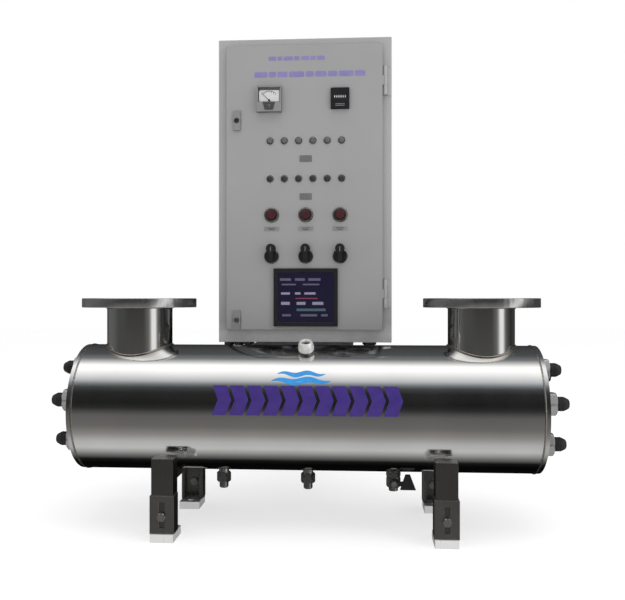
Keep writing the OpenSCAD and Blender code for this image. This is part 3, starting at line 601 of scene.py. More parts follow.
# Case paint: a darker copy of the door paint, as painted shade on the protruding meter case, which catches more
# light; the lock housings share it
CASE_PAINT = cabinet_paint("case_paint_painted_shade", (0.20, 0.199, 0.198))
QUARTZ = clear("quartz_glass", (0.93, 0.97, 0.99))
WINDOW = clear("window_glass", (0.97, 0.98, 0.99), 0.01, 1.5)
LAMP_GLASS = clear("lamp_glass", (0.95, 0.96, 1.0), 0.12)
CERAMIC = moulded("ceramic", (0.80, 0.77, 0.70), 0.4, 0.6, 900)
RUBBER = moulded("black_rubber", (0.018, 0.018, 0.019), 0.5, 0.7, 1100, 0.00006)
SHEATH = moulded("cable_sheath", (0.022, 0.022, 0.024), 0.38, 0.5, 500)
BLACK = moulded("black_plastic", (0.014, 0.014, 0.016), 0.28, 0.42)
DARK = moulded("dark_plastic", (0.05, 0.05, 0.053), 0.35, 0.5)
GREY = moulded("grey_plastic", (0.20, 0.20, 0.205), 0.4, 0.55)
WHITE = moulded("white_plastic", (0.72, 0.72, 0.69), 0.4, 0.55)
GREEN = moulded("green_plastic", (0.05, 0.20, 0.11), 0.35, 0.5)
RED = moulded("red_plastic", (0.055, 0.013, 0.016), 0.25, 0.38)
LENS = moulded("lamp_lens", (0.10, 0.115, 0.105), 0.12, 0.22, 700)
DARK_LENS = moulded("dark_lens", (0.035, 0.036, 0.04), 0.12, 0.22, 700)
BLUE_WIRE = moulded("blue_wire", (0.03, 0.09, 0.33), 0.35, 0.45, 600)
BROWN_WIRE = moulded("brown_wire", (0.13, 0.05, 0.025), 0.35, 0.45, 600)
RED_WIRE = moulded("red_wire", (0.38, 0.03, 0.03), 0.35, 0.45, 600)
SCREEN = moulded("screen_glass", (0.012, 0.010, 0.030), 0.10, 0.18, 300)
# The dial card glows, as painted light in the shaded meter case; no lamp lights it
DIAL = glowing("dial_card_painted_glow", (0.80, 0.80, 0.78), 0.45)
BLACK_INK = ink("black_ink", (0.02, 0.02, 0.02))
PURPLE_INK = ink("purple_ink", (0.032, 0.011, 0.16))
CYAN_INK = ink("cyan_ink", (0.012, 0.22, 0.55))
VIOLET_INK = ink("violet_ink", (0.19, 0.17, 0.36))
LABEL_INK = ink("label_card", (0.13, 0.13, 0.135))


# ---------------------------------------------------------------- finishes on the CAD nodes

# Finish, bevel in millimetres, nodes
CAD_FINISHES = (
    (STEEL, 0, "chamber_shell"),
    (PLATE_STEEL, 0, "end_plates"),
    (NECK_STEEL, 0, "port_necks sight_ring valve_ball"),
    (FLANGE_STEEL, 1.0, "inlet_flange outlet_flange"),
    (SATIN_STEEL, 0, "port_sockets lamp_sockets gland_nuts port_plugs valve_body saddle_plates"),
    (SATIN_STEEL, 0, "cabinet_bracket"),
    (LEG_STEEL, 0.8, "legs"),
    (SHOE_STEEL, 0.6, "foot_shoes"),
    (ZINC, 0, "frame_bolts mounting_plate din_rails lock_upper lock_lower"),
    (ZINC, 0.3, "lever_nut"),
    (RUBBER, 0, "sleeve_seals lamp_boots sleeve_caps door_gasket"),
    (QUARTZ, 0, "quartz_sleeves"),
    (LAMP_GLASS, 0, "uv_lamps"),
    (CERAMIC, 0, "lamp_bases"),
    (SHEATH, 0, "lamp_leads"),
    (WINDOW, 0, "sight_lens meter_window"),
    (BODY_PAINT, 1.2, "cabinet_body"),
    (BODY_PAINT, 0.3, "hinge_leaves_fixed hinge_leaves_door hinge_pins"),
    (PAINT, 1.0, "door_panel"),
    (CASE_PAINT, 0.8, "lock_housings"),
    (CASE_PAINT, 0.7, "meter_case"),
    (WHITE, 0.8, "ballasts"),
    (WHITE, 0.6, "circuit_breaker"),
    (DARK, 0.8, "contactor"),
    (GREY, 0.4, "terminal_blocks"),
    (GREY, 0, "wire_duct indicator_bezels switch_bezels"),
    (GREEN, 0.5, "contact_blocks"),
    (LENS, 0, "indicator_lenses"),
    (RED, 0, "button_left button_middle button_right"),
    (BLACK, 0, "cable_glands"),
    (BLACK, 0.6, "valve_lever"),
    (BLACK, 0.7, "hour_meter"),
    (BLACK, 0.9, "selector_left selector_middle selector_right"),
    (BLACK, 1.2, "display_case"),
    (BLACK_INK, 0, "meter_needle"),
    (SCREEN, 0, "display_screen"),
)
# Sheet parts with many openings: only the edges of their outer box are softened
OUTER_EDGES_ONLY = ("cabinet_body", "door_panel")
# Large flat parts, kept out of the mirror finish of the chamber and necks
NOT_REFLECTED = ("cabinet_body", "door_panel", "display_case", "display_screen", "inlet_flange",
                 "outlet_flange", "legs", "saddle_plates")


def mark_outer_edges(piece):
    """Weights the edges that lie along the node's own box, so that only they are softened."""
    points = [vert.co for vert in piece.data.vertices]
    limits = [(min(p[i] for p in points), max(p[i] for p in points)) for i in range(3)]
    weights = piece.data.attributes.new("bevel_weight_edge", "FLOAT", "EDGE")
    for edge in piece.data.edges:
        a, b = (points[v] for v in edge.vertices)
        shared = [
            abs(a[i] - limit) < 1e-6 and abs(b[i] - limit) < 1e-6
            for i in range(3) for limit in limits[i]
        ]
        weights.data[edge.index].value = 1.0 if sum(shared) >= 2 else 0.0


def dress(node, finish, bevel):
    """Gives a CAD node its finish, and optionally soft edges through modifiers."""
    piece = NODES[node]
    piece.data.materials.clear()
    piece.data.materials.append(finish)
    if not bevel:
        return
    outer_only = node in OUTER_EDGES_ONLY
    if outer_only:
        mark_outer_edges(piece)
    weld = piece.modifiers.new("weld", "WELD")
    weld.merge_threshold = 1e-5
    soften = piece.modifiers.new("soften", "BEVEL")
    soften.width = bevel
    soften.segments = 2
    soften.limit_method = "WEIGHT" if outer_only else "ANGLE"
    soften.angle_limit = math.radians(50)
    soften.harden_normals = True
    soften.use_clamp_overlap = True


for cad_finish, bevel_mm, cad_nodes in CAD_FINISHES:
    for cad_node in cad_nodes.split():
        dress(cad_node, cad_finish, bevel_mm * MM)
for cad_node in NOT_REFLECTED:
    NODES[cad_node].visible_glossy = False


# ---------------------------------------------------------------- chamber

def ring_points(center, axis, radius, count=96):
    where = aim(center, axis)
    return [where @ p for p in circle(radius, 0, count)]


def saddle_points(center_x, radius, out=UP, count=144):
    """The line where a tube along out meets the chamber."""
    spot, side = Vector((center_x, 0, AXIS_Z)), Vector((1, 0, 0))
    other = out.cross(side)
    return [
        spot + side * p.x + other * p.y + out * math.sqrt(SHELL_R ** 2 - p.y ** 2)
        for p in circle(radius, 0, count)
    ]


def outward(point):
    return Vector((0, point.y, point.z - AXIS_Z)).normalized()


def chamber_welds():
    mesh = bmesh.new()
    necks = solids("port_necks")
    for neck in necks:
        line = saddle_points(neck.mid.x, neck.size.y / 2 + 0.6)
        sweep(mesh, line, 2.2, 10, True, 0.12, 72)
    for flange in (box_of("inlet_flange"), box_of("outlet_flange")):
        center = Vector((flange.mid.x, 0, flange.low.z))
        line = ring_points(center, UP, necks[0].size.y / 2 + 0.4)
        sweep(mesh, line, 2.0, 10, True, 0.1, 32)
    for end in solids("end_plates"):
        inner = end.low.x if end.low.x > 0 else end.high.x
        line = ring_points(Vector((inner, 0, AXIS_Z)), (1, 0, 0), SHELL_R - 0.5, 288)
        sweep(mesh, line, 1.7, 8, True, 0.1, 96)
    plate_x = box_of("end_plates").high.x
    for socket in solids("lamp_sockets"):
        center = Vector((plate_x if socket.low.x > 0 else -plate_x, socket.mid.y, socket.mid.z))
        line = ring_points(center, (1, 0, 0), socket.size.y / 2 + 0.1, 48)
        sweep(mesh, line, 0.5, 6, True)
    place("chamber_welds", mesh, WELD, "root")


def socket_welds():
    """Beads round the small sockets, under the chamber and at the sight glass."""
    mesh = bmesh.new()
    for socket in solids("port_sockets"):
        out = outward(socket.mid)
        if out.z < 0:
            out = -UP
        line = saddle_points(socket.mid.x, socket.size.x / 2 + 0.3, out, 48)
        sweep(mesh, line, 1.3, 8, True, 0.1, 16)
    place("socket_welds", mesh, WELD, "root")


def outside_end(box):
    """A frame on the inner face of a part beyond an end plate, its Z pointing away from the plate."""
    side = 1 if box.low.x > 0 else -1
    start = box.low.x if side > 0 else box.high.x
    return aim(Vector((start, box.mid.y, box.mid.z)), (side, 0, 0))


def gland_nuts():
    mesh = bmesh.new()
    for nut in solids("gland_nuts"):
        where, length = outside_end(nut), nut.size.x
        flats = min(nut.size.y, nut.size.z)
        hexagon(mesh, where, flats, 0, length, flats * 0.3)
        inner, outer, start, end = flats * 0.29, flats * 0.44, length * 0.3, length * 0.9
        lathe(mesh, where, [(inner, start), (outer, start), (outer, end), (inner, end)], 32)
    place("gland_nut_set", mesh, SATIN_STEEL, "root", ["gland_nuts"], 30)


def end_caps(node, name):
    """Ribbed rubber cups over the sleeve ends, narrowing to a tip."""
    mesh = bmesh.new()
    for cup in solids(node):
        length, radius = cup.size.x, cup.size.z / 2
        skirt, tip_r = length * 2 / 3, radius * 0.625
        outline = [(0, 0), (radius * 0.8, 0), (radius * 0.97, 0.2)]
        for k in range(4):
            rib = 1.0 + k * 3.2
            outline += [(radius, rib), (radius, rib + 1.2),
                        (radius * 0.93, rib + 1.7), (radius * 0.93, rib + 2.7)]
        outline += [(radius * 0.93, skirt), (tip_r + 0.4, length - 1.0),
                    (tip_r * 0.85, length), (tip_r * 0.5, length),
                    (tip_r * 0.4, length - 0.7), (0, length - 0.7)]
        lathe_solid(mesh, outside_end(cup), outline, 40)
    place(name, mesh, RUBBER, "root", [node], 30)


def lead_collars():
    """Moulded strain reliefs where the leads leave their boots."""
    mesh = bmesh.new()
    leads, lead_r = solids("lamp_leads"), 3
    bore = lead_r + 0.05
    for boot in solids("lamp_boots"):
        spot = boot.mid
        lead = min(leads, key=lambda b: abs(b.low.z - spot.z + lead_r) + abs(b.low.y - spot.y))
        where = aim(Vector((lead.low.x + lead_r, spot.y + boot.size.z * 0.4, spot.z)), (0, 1, 0))
        outline = [(bore, 0), (5.0, 0)]
        for k in range(4):
            step, rib, groove = 2.5 + 3 * k, 4.9 - 0.3 * k, 4.1 - 0.2 * k
            outline += [(rib, step), (groove, step + 0.6), (groove, step + 1.6), (rib - 0.3, step + 2.2)]
        outline += [(3.5, 15), (bore, 15)]
        lathe(mesh, where, outline, 24)
    place("lead_strain_reliefs", mesh, RUBBER, "root")


def around(x, arc):
    """A point just off the chamber, a distance arc up the front from its widest line."""
    angle, r = arc / SHELL_R, SHELL_R + 0.02
    return Vector((x, -r * math.cos(angle), AXIS_Z + r * math.sin(angle)))


def chamber_marks():
    """Printed marks: a band of plain flow chevrons, and two water lines above it."""
    ink_thickness = 0.12
    band_low, band_high = 1, 50
    band_left, band_right, count, steps = -150, 158, 11, 16
    pitch = (band_right - band_left) / count
    mesh = bmesh.new()
    for i in range(count):
        pairs = []
        for k in range(steps + 1):
            t = k / steps
            x = band_left + i * pitch + 9 * (1 - abs(2 * t - 1))
            arc = band_low + t * (band_high - band_low)
            pairs.append((around(x, arc), around(x + pitch * 0.8, arc)))
        ribbon(mesh, pairs, outward, ink_thickness)
    place("flow_marks", mesh, PURPLE_INK, "root")
    mesh = bmesh.new()
    wave_left, wave_right, steps = -54, 44, 48
    for arc, swell, inset in ((59, 5.6, 0), (72, 4.4, 9)):
        pairs = []
        for k in range(steps + 1):
            t = k / steps
            x = wave_left + inset + t * (wave_right - wave_left - 2 * inset)
            crest = arc + 2.4 * math.sin(t * 4 * math.pi)
            half = 0.15 + swell * math.sin(math.pi * t) ** 0.7
            pairs.append((around(x, crest - half), around(x, crest + half)))
        ribbon(mesh, pairs, outward, ink_thickness)
    place("water_marks", mesh, CYAN_INK, "root")


chamber_welds()
socket_welds()
gland_nuts()
end_caps("lamp_boots", "lamp_boot_set")
end_caps("sleeve_caps", "sleeve_cap_set")
lead_collars()
chamber_marks()


# ---------------------------------------------------------------- small fittings

def sight_glass():
    """A turned ring with grip notches, and a domed glass in its window."""
    lens = box_of("sight_lens")
    origin = Vector((lens.mid.x, 0, AXIS_Z))
    where, base = aim(origin, outward(lens.mid)), (lens.mid - origin).length
    ring_low, ring_high, radius = SHELL_R + 4, base + 7.4, 12.5
    mesh = bmesh.new()
    outline = round_corners([
        (10.1, ring_low), (radius, ring_low), (radius, ring_high - 3),
        (radius - 2, ring_high), (8.2, ring_high), (7, ring_high - 2),
        (7, base + 2.7), (10.1, base + 2.7)
    ], 0.5)
    lathe(mesh, where, outline, 64)
    for spot in circle(radius, 0, 24):
        points = [where @ (spot + UP * (ring_low + 1.5 + 1.5 * k)) for k in range(7)]
        sweep(mesh, points, 0.7, 6)
    place("sight_ring_turned", mesh, SIGHT_STEEL, "root", ["sight_ring"], 40)
    mesh = bmesh.new()
    shoulder, glass_r = base + 2.5, 9.9
    dome = [(0, base - 2.4), (glass_r, base - 2.4), (glass_r, shoulder)]
    dome += quarter_round(0, shoulder, 6.9, 1.6, 8)[1:]
    lathe_solid(mesh, where, dome, 48)
    place("sight_lens_domed", mesh, WINDOW, "root", ["sight_lens"], 30)


def bottom_plugs():
    mesh = bmesh.new()
    for plug in solids("port_plugs"):
        where = aim(Vector((plug.mid.x, plug.mid.y, plug.high.z)), -UP)
        length = plug.size.z
        hex_len = length - 11
        hexagon(mesh, where, min(plug.size.x, plug.size.y), 0, hex_len, 9.05)
        outline = [(0, hex_len * 0.6), (8, hex_len * 0.6), (8, length - 3),
                   (7.4, length - 1), (6, length), (3, length),
                   (2.7, length - 1.4), (0, length - 1.4)]
        lathe_solid(mesh, where, outline, 48)
    place("port_plug_set", mesh, DARK_STEEL, "root", ["port_plugs"], 30)


def ball_valve():
    """The valve's outside: hexagon collar, round body, outlet tail and stem boss."""
    body = box_of("valve_body")
    ball = pivot_of("valve_turn")
    where = aim(ball, UP)
    collar_high, tail = body.high.z - ball.z, body.low.z - ball.z
    collar_low = collar_high - 9.5
    mesh = bmesh.new()
    hexagon(mesh, where, 22, collar_low, collar_high, 9.05)
    outline = round_corners([
        (3, collar_low + 1), (11, collar_low + 1), (12.5, collar_low - 2),
        (12.5, -7), (10, -10), (8, -10.5), (8, tail), (3, tail)
    ], 0.8)
    lathe(mesh, where, outline, 56)
    stem_r, boss_r, boss_low, boss_high = 3.08, 6, 9, 15
    outline = round_corners([
        (stem_r, boss_low), (boss_r, boss_low), (boss_r, boss_high), (stem_r, boss_high)
    ], 0.4)
    lathe(mesh, aim(ball, FRONT), outline, 40)
    place("valve_body_turned", mesh, DARK_STEEL, "root", ["valve_body"], 30)


sight_glass()
bottom_plugs()
ball_valve()


# ---------------------------------------------------------------- stand

def stand_welds():
    """Fillets where the saddle plates meet the chamber."""
    mesh = bmesh.new()
    for saddle in solids("saddle_plates"):
        top = math.asin(min(1, (AXIS_Z - saddle.high.z) / SHELL_R))
        for x in (saddle.low.x, saddle.high.x):
            points = []
            for k in range(61):
                angle = -math.pi + top + (math.pi - 2 * top) * k / 60
                y, z = SHELL_R * math.cos(angle), SHELL_R * math.sin(angle)
                points.append(Vector((x, y, AXIS_Z + z)))
            sweep(mesh, points, 1.8, 8, False, 0.1, 24)
    place("stand_welds", mesh, WELD, "root")


def leg_caps():
    """Closing plates in the open tops of the leg channels."""
    mesh = bmesh.new()
    wall = 3.2
    for leg in solids("legs"):
        side = 1 if leg.high.y > 0 else -1
        outer = max(abs(leg.low.y), abs(leg.high.y)) - wall
        inner = math.sqrt(SHELL_R ** 2 - (AXIS_Z - leg.high.z) ** 2) + 0.5
        where = aim(Vector((leg.mid.x, side * (outer + inner) / 2, leg.high.z - wall - 0.4)), UP)
        slab(mesh, where, leg.size.x - 2 * wall, outer - inner, wall)
    place("leg_caps", mesh, DARK_STEEL, "root").visible_glossy = False


def frame_bolts():
    """Hexagon heads, shanks and nuts in place of the plain bolts."""
    mesh = bmesh.new()
    for bolt in solids("frame_bolts"):
        start = bolt.mid.copy()
        if bolt.size.y > bolt.size.z:
            front = start.y < 0
            start.y = bolt.low.y if front else bolt.high.y
            where = aim(start, -FRONT if front else FRONT)
            length, flats = bolt.size.y, min(bolt.size.x, bolt.size.z)
        else:
            start.z = bolt.low.z
            where = aim(start, UP)
            length, flats = bolt.size.z, min(bolt.size.x, bolt.size.y)
        hexagon(mesh, where, flats, 0, 5.3, 1)
        hexagon(mesh, where, flats, length - 8, length - 2, 3.9)
        outline = [(0, 0.6), (3.95, 0.6), (3.95, length - 0.8),
                   (3.2, length), (0, length)]
        lathe_solid(mesh, where, outline, 32)
    place("frame_bolt_set", mesh, ZINC, "root", ["frame_bolts"], 30)


stand_welds()
leg_caps()
frame_bolts()


# ---------------------------------------------------------------- door instruments

SIDES = ("left", "middle", "right")


def on_door(x, z, out=0.0):
    return aim(Vector((x, DOOR.low.y - out, z)), FRONT)


def door_marks():
    """Two lines of plain printed blocks where a maker would put its lettering."""
    lines = (
        (DOOR.high.z - 26, 8, -69, (15, 9, 18, 11, 16, 10, 15)),
        (DOOR.high.z - 57, 11, -97, (26, 14, 20, 30, 16, 22, 18, 29, 20)),
    )
    mesh = bmesh.new()
    for z, height, start, widths in lines:
        x = DOOR.mid.x + start
        for width in widths:
            slab(mesh, on_door(x + width / 2, z), width, height, 0.15, height * 0.3)
            x += width + 2.6
    place("door_heading", mesh, VIOLET_INK, "door")


def door_labels():
    """Blank label plates under the lamp rows and the buttons."""
    lamps, switches = solids("indicator_bezels"), solids("switch_bezels")
    center_x = fmean(lamp.mid.x for lamp in lamps)
    half_z = fmean(switch.mid.z for switch in switches)
    rows, labels, marks = bmesh.new(), bmesh.new(), bmesh.new()
    for z in sorted({round(lamp.mid.z, 1) for lamp in lamps}):
        slab(rows, on_door(center_x, z - 35), 24, 13, 0.6, 1.5)
    for x, z in ((switch.mid.x, switch.mid.z) for switch in switches if switch.mid.z > half_z):
        slab(labels, on_door(x, z - 27), 30, 9, 0.5, 1.2)
        for drop, width in ((25.5, 16), (28.5, 11)):
            where = on_door(x, z - drop, 0.5)
            slab(marks, where, width, 1.1, 0.1, 0.4)
    place("row_labels", rows, LABEL_INK, "door")
    place("button_labels", labels, GREY, "door")
    place("button_label_marks", marks, BLACK_INK, "door")


def panel_meter():
    """Dial card, scale, lower cover and screw of the pointer meter."""
    low = box_of("meter_case").low
    pivot = pivot_of("needle_swing")
    card_thickness, cover_thickness = 0.04, 0.9

    def facing(y, z):
        return aim(Vector((pivot.x, y, z)), FRONT)

    face_y = low.y + 6
    mesh = bmesh.new()
    # Painted light: the dial card glows to lift it out of the case's shade
    slab(mesh, facing(face_y, pivot.z + 9), 39, 22, card_thickness, 2)
    place("meter_dial_painted_glow", mesh, DIAL, "door")
    mesh = bmesh.new()
    center, arc = facing(face_y - card_thickness, pivot.z), []
    for k in range(31):
        turn = center @ Matrix.Rotation(math.radians(45 - 3 * k), 4, "Z")
        inner, outer, width = (15.5, 18.6, 0.7) if k % 5 == 0 else (17.2, 18.6, 0.35)
        mark = turn @ Matrix.Translation((0, (inner + outer) / 2, 0))
        slab(mesh, mark, width, outer - inner, 0.08)
        arc.append((turn @ Vector((0, 18.6, 0)), turn @ Vector((0, 19.0, 0))))
    ribbon(mesh, arc, lambda p: FRONT, 0.08)
    place("meter_scale", mesh, BLACK_INK, "door")
    mesh = bmesh.new()
    outline = [(12, 15), (-12, 15), (-8, 0), (8, 0)]
    plate(mesh, facing(low.y, low.z + 3), round_corners(outline, 1.5, 4), cover_thickness)
    place("meter_cover", mesh, DARK, "door")
    mesh = bmesh.new()
    outline = [(0, -0.5), (2.4, -0.5), (2.4, 0.3), (1.9, 0.7),
               (0, 0.8)]
    lathe_solid(mesh, facing(low.y - cover_thickness, low.z + 10), outline, 32)
    place("meter_screw", mesh, ZINC, "door")


def hour_counter():
    """Number drums behind the hour meter's slot: dark wheels with a plain light mark on each."""
    meter, drum_thickness = box_of("hour_meter"), 0.7
    drums, marks, lines = bmesh.new(), bmesh.new(), bmesh.new()
    for k in range(6):
        x = meter.mid.x + (k - 2.5) * 4.1
        where = aim(Vector((x, meter.low.y + 2, meter.mid.z + 3)), FRONT)
        slab(drums, where, 3.5, 7.4, drum_thickness, 0.6)
        slab(marks, where, 1.1, 3.6, 0.08, 0.3, drum_thickness)
    for drop in (11.5, 14.5):
        where = aim(Vector((meter.mid.x, meter.low.y, meter.mid.z - drop)), FRONT)
        slab(lines, where, 18, 1, 0.12, 0.3)
    place("hour_drums", drums, DARK, "door")
    place("hour_drum_marks", marks, WHITE, "door")
    place("hour_meter_marks", lines, GREY, "door")


def bezel(mesh, box, sizes, segments):
    """A turned ring on the door, with a collar that passes through the panel."""
    bore, collar, rim, slope, face, lip, inner, soft = sizes
    radius, back = box.size.x / 2, DOOR.low.y - box.high.y
    outline = round_corners([
        (bore, back), (collar, back), (collar, 0), (radius, 0), (radius, rim),
        (radius - slope, face), (lip, face), (bore, inner)
    ], soft)
    lathe(mesh, on_door(box.mid.x, box.mid.z), outline, segments)


def indicator_lamps():
    """Turned rings and domed lenses; the lower row is unlit and darker."""
    lamps = solids("indicator_bezels")
    half_z = fmean(lamp.mid.z for lamp in lamps)
    rings, upper, lower = bmesh.new(), bmesh.new(), bmesh.new()
    for lamp in lamps:
        bezel(rings, lamp, (4.1, 5, 1.4, 1.2, 3, 5.3, 2.2, 0.35), 40)
        dome = [(0, -8), (3.95, -8), (3.95, 2.4), (5, 2.9)]
        dome += quarter_round(0, 3.2, 5, 2.4, 6)
        mesh = upper if lamp.mid.z > half_z else lower
        lathe_solid(mesh, on_door(lamp.mid.x, lamp.mid.z), dome, 40)
    place("indicator_rings", rings, ZINC, "door", ["indicator_bezels"], 30)
    place("indicator_domes_upper", upper, LENS, "door", ["indicator_lenses"], 30)
    place("indicator_domes_lower", lower, DARK_LENS, "door", ["indicator_lenses"], 30)


def switch_rings():
    mesh = bmesh.new()
    for switch in solids("switch_bezels"):
        bezel(mesh, switch, (9.1, 11.1, 1.8, 1.8, 4, 10.2, 3.2, 0.5), 56)
    place("switch_rings", mesh, ZINC, "door", ["switch_bezels"], 30)


def push_buttons():
    """Red caps with a rounded rim and a shallow dish."""
    for side in SIDES:
        cap_box, soft = box_of(f"button_{side}"), 1.8
        radius = cap_box.size.x / 2
        back, tip = DOOR.low.y - cap_box.high.y, DOOR.low.y - cap_box.low.y
        outline = [(0, back), (radius - 0.6, back), (radius, back + 0.6)]
        outline += quarter_round(radius - soft, tip - soft, soft, soft, 5)
        outline += [(radius * 0.6, tip - 0.5), (radius * 0.3, tip - 0.9), (0, tip - 1.0)]
        mesh = bmesh.new()
        lathe_solid(mesh, on_door(cap_box.mid.x, cap_box.mid.z), outline, 56)
        place(f"button_cap_{side}", mesh, RED, f"button_{side}", [f"button_{side}"], 30)


def selector_lines():
    """Pointer lines on the selector handles."""
    for side in SIDES:
        pivot = pivot_of(f"selector_{side}_turn")
        front_y = box_of(f"selector_{side}").low.y
        mesh = bmesh.new()
        where = aim(Vector((pivot.x, front_y, pivot.z + 13)), FRONT)
        slab(mesh, where, 1.2, 9, 0.3, 0.5)
        place(f"selector_line_{side}", mesh, GREY, f"selector_{side}")


# Name, colour, strength, and rows as shares of the screen: (drop, height, ((offset, width), ...))
DISPLAY_ROWS = (
    ("screen_rows_dim", (0.08, 0.075, 0.12), 0.2, (
        (0.14, 0.050, ((-0.36, 0.20), (-0.10, 0.18), (0.16, 0.22))),
        (0.24, 0.030, ((-0.30, 0.26), (0.10, 0.30))),
        (0.86, 0.045, ((-0.34, 0.16), (0.06, 0.30), (0.34, 0.12))),
    )),
    ("screen_rows_bright", (0.20, 0.18, 0.26), 0.25, (
        (0.42, 0.045, ((-0.36, 0.16), (-0.14, 0.10), (0.08, 0.20))),
        (0.62, 0.060, ((-0.36, 0.16), (-0.08, 0.16), (0.22, 0.20))),
    )),
    ("screen_rows_red", (0.17, 0.025, 0.05), 0.25, ((0.52, 0.022, ((0.02, 0.40),)),)),
    ("screen_rows_blue", (0.045, 0.09, 0.12), 0.22, ((0.75, 0.050, ((0.10, 0.52),)),)),
)


def display_rows():
    """Rows of plain lit blocks on the screen."""
    screen = box_of("display_screen")
    width, height = screen.size.x, screen.size.z
    for name, color, strength, lines in DISPLAY_ROWS:
        mesh = bmesh.new()
        for drop, tall, blocks in lines:
            for off, wide in blocks:
                spot = Vector((screen.mid.x + off * width, screen.low.y, screen.high.z - drop * height))
                slab(mesh, aim(spot, FRONT), wide * width, tall * height, 0.1, 1.2)
        place(name, mesh, glowing(name, color, strength), "door")


door_marks()
door_labels()
panel_meter()
hour_counter()
indicator_lamps()
switch_rings()
push_buttons()
selector_lines()
display_rows()


# ---------------------------------------------------------------- wiring

TRUNK_R, LOOP_R = 3.4, 3.2
POWER_R, CONTROL_R, LAMP_R = 1.4, 1.2, 1.0


def clear_of(x, nodes, gap):
    """The nearest x beside the given nodes, so that a wire passes them."""
    for box in map(box_of, nodes):
        if box.low.x - gap < x < box.high.x + gap:
            x = box.low.x - gap if x < box.mid.x else box.high.x + gap
    return x


def inside_wiring():
    """Conductors from the lamp leads to the terminals, and from each device into the duct."""
    blue, brown, red = bmesh.new(), bmesh.new(), bmesh.new()
    duct = box_of("wire_duct")
    duct_y, duct_in = duct.mid.y, duct.high.z - 3
    terminals = solids("terminal_blocks")
    for k, block in enumerate(terminals):
        x, y, top = block.mid.x, block.mid.y - 6, block.high.z
        wire((blue, brown)[k % 2], [
            (x, y, top - 3), (x, y - 3, top + 12), (x, duct_y - 8, duct.low.z + 3)
        ], CONTROL_R)
    for k, lead in enumerate(solids("lamp_leads")):
        target = terminals[min(k + 1, len(terminals) - 1)]
        x, y, z = lead.high.x - 3, lead.high.y - 3, lead.high.z
        tx, ty, tz = target.mid.x, target.mid.y - 6, target.low.z
        for mesh, off in ((blue, -1.2), (brown, 1.2)):
            wire(mesh, [
                (x + off, y, z - 4), (x + off, y + 6, z + 16),
                ((x + tx) / 2, (y + ty) / 2, z + 8 + off * 3),
                (tx + off, ty - 4, tz - 10), (tx + off, ty, tz + 3)
            ], LAMP_R)
    for node, count in (("circuit_breaker", 2), ("contactor", 3)):
        device = box_of(node)
        y, low, high = device.mid.y + 12, device.low.z, device.high.z
        for k in range(count):
            mesh = (brown, blue, red)[k]
            x = device.low.x + device.size.x * (k + 1) / (count + 1)
            rise = 7 + 3 * k
            top = clear_of(x, [node], rise)
            wire(mesh, [(x, y, low + 3), (x, y + 3, low - 9), (x, duct_y, duct_in)], POWER_R)
            wire(mesh, [
                (x, y, high - 3), (x, y - 2, high + rise),
                ((x + top) / 2, y, high + rise + 2), (top, y + 4, high - 6),
                (top, duct_y, (high + duct.high.z) / 2), (top, duct_y, duct_in)
            ], POWER_R)
    for ballast in solids("ballasts"):
        y, low = duct_y + 4, ballast.low.z
        for mesh, off in ((red, -4), (blue, 0), (brown, 4)):
            x = ballast.mid.x + off
            down = clear_of(x, ["circuit_breaker", "contactor"], 20 + off)
            wire(mesh, [
                (x, y, low + 3), (x, y, low - 8), (down, y, low - 26 - abs(off)),
                (down, y, (low + duct.high.z) / 2), (down, y, duct_in)
            ], LAMP_R)
    place("wires_blue", blue, BLUE_WIRE, "root")
    place("wires_brown", brown, BROWN_WIRE, "root")
    place("wires_red", red, RED_WIRE, "root")


def door_harness():
    """A wrapped bundle behind the door, its branches, and the loop that crosses the hinge."""
    blocks = solids("contact_blocks")
    columns = sorted({round(block.mid.x, 1) for block in blocks})
    cross_z = fmean(block.mid.z for block in blocks)
    trunk_x = math.floor((columns[0] + columns[1]) / 2)
    depth = DOOR.high.y + 22
    corner_x = DOOR.high.x - 30
    bundle, branches, loop, tail = bmesh.new(), bmesh.new(), bmesh.new(), bmesh.new()
    wire(bundle, [
        (trunk_x, depth, box_of("meter_case").high.z - 30), (trunk_x, depth, cross_z + 60),
        (trunk_x + 2, depth, cross_z + 10), (trunk_x + 12, depth, cross_z),
        (corner_x, depth, cross_z)
    ], TRUNK_R)
    place("door_bundle", bundle, SHEATH, "door")
    devices = blocks + solids("indicator_bezels") + [box_of("meter_case"), box_of("hour_meter")]
    for x, y, z in ((device.mid.x, device.high.y, device.mid.z) for device in devices):
        end = (trunk_x, depth, z - 14)
        if z < cross_z + 60 and x > trunk_x:
            end = (x + 9, depth, cross_z)
        elif z < cross_z + 60 and x < trunk_x:
            end = (trunk_x, depth, cross_z + 30)
        bend = ((x + end[0]) / 2, max(y + 7, depth + 2), (z + end[2]) / 2)
        wire(branches, [(x, y - 2, z), (x, y + 4, z), bend, end], CONTROL_R)
    place("door_branches", branches, RED_WIRE, "door")
    duct = box_of("wire_duct")
    start = Vector((corner_x, depth, cross_z))
    fixed = Vector((duct.high.x - 8, duct.low.y - 26, cross_z + 6))
    wire(loop, [
        start + Vector((-2, 0, 0)), start + Vector((9, 12, -12)),
        start + Vector((14, 34, -34)), fixed + Vector((0, -14, -18)), fixed
    ], LOOP_R)
    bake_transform(place("hinge_loop", loop, SHEATH, None))
    wire(tail, [
        fixed - Vector((0, 2, 3)), fixed + Vector((0, 10, 4)),
        (fixed.x, duct.low.y + 10, duct.high.z + 12),
        (fixed.x, duct.low.y + 20, duct.high.z - 3)
    ], LOOP_R)
    place("hinge_loop_tail", tail, SHEATH, "root")


inside_wiring()
door_harness()


# ---------------------------------------------------------------- floor, light and camera

def from_screen(value):
    """Linear light from a screen grey of 0 to 255."""
    share = value / 255
    return share / 12.92 if share <= 0.04045 else ((share + 0.055) / 1.055) ** 2.4


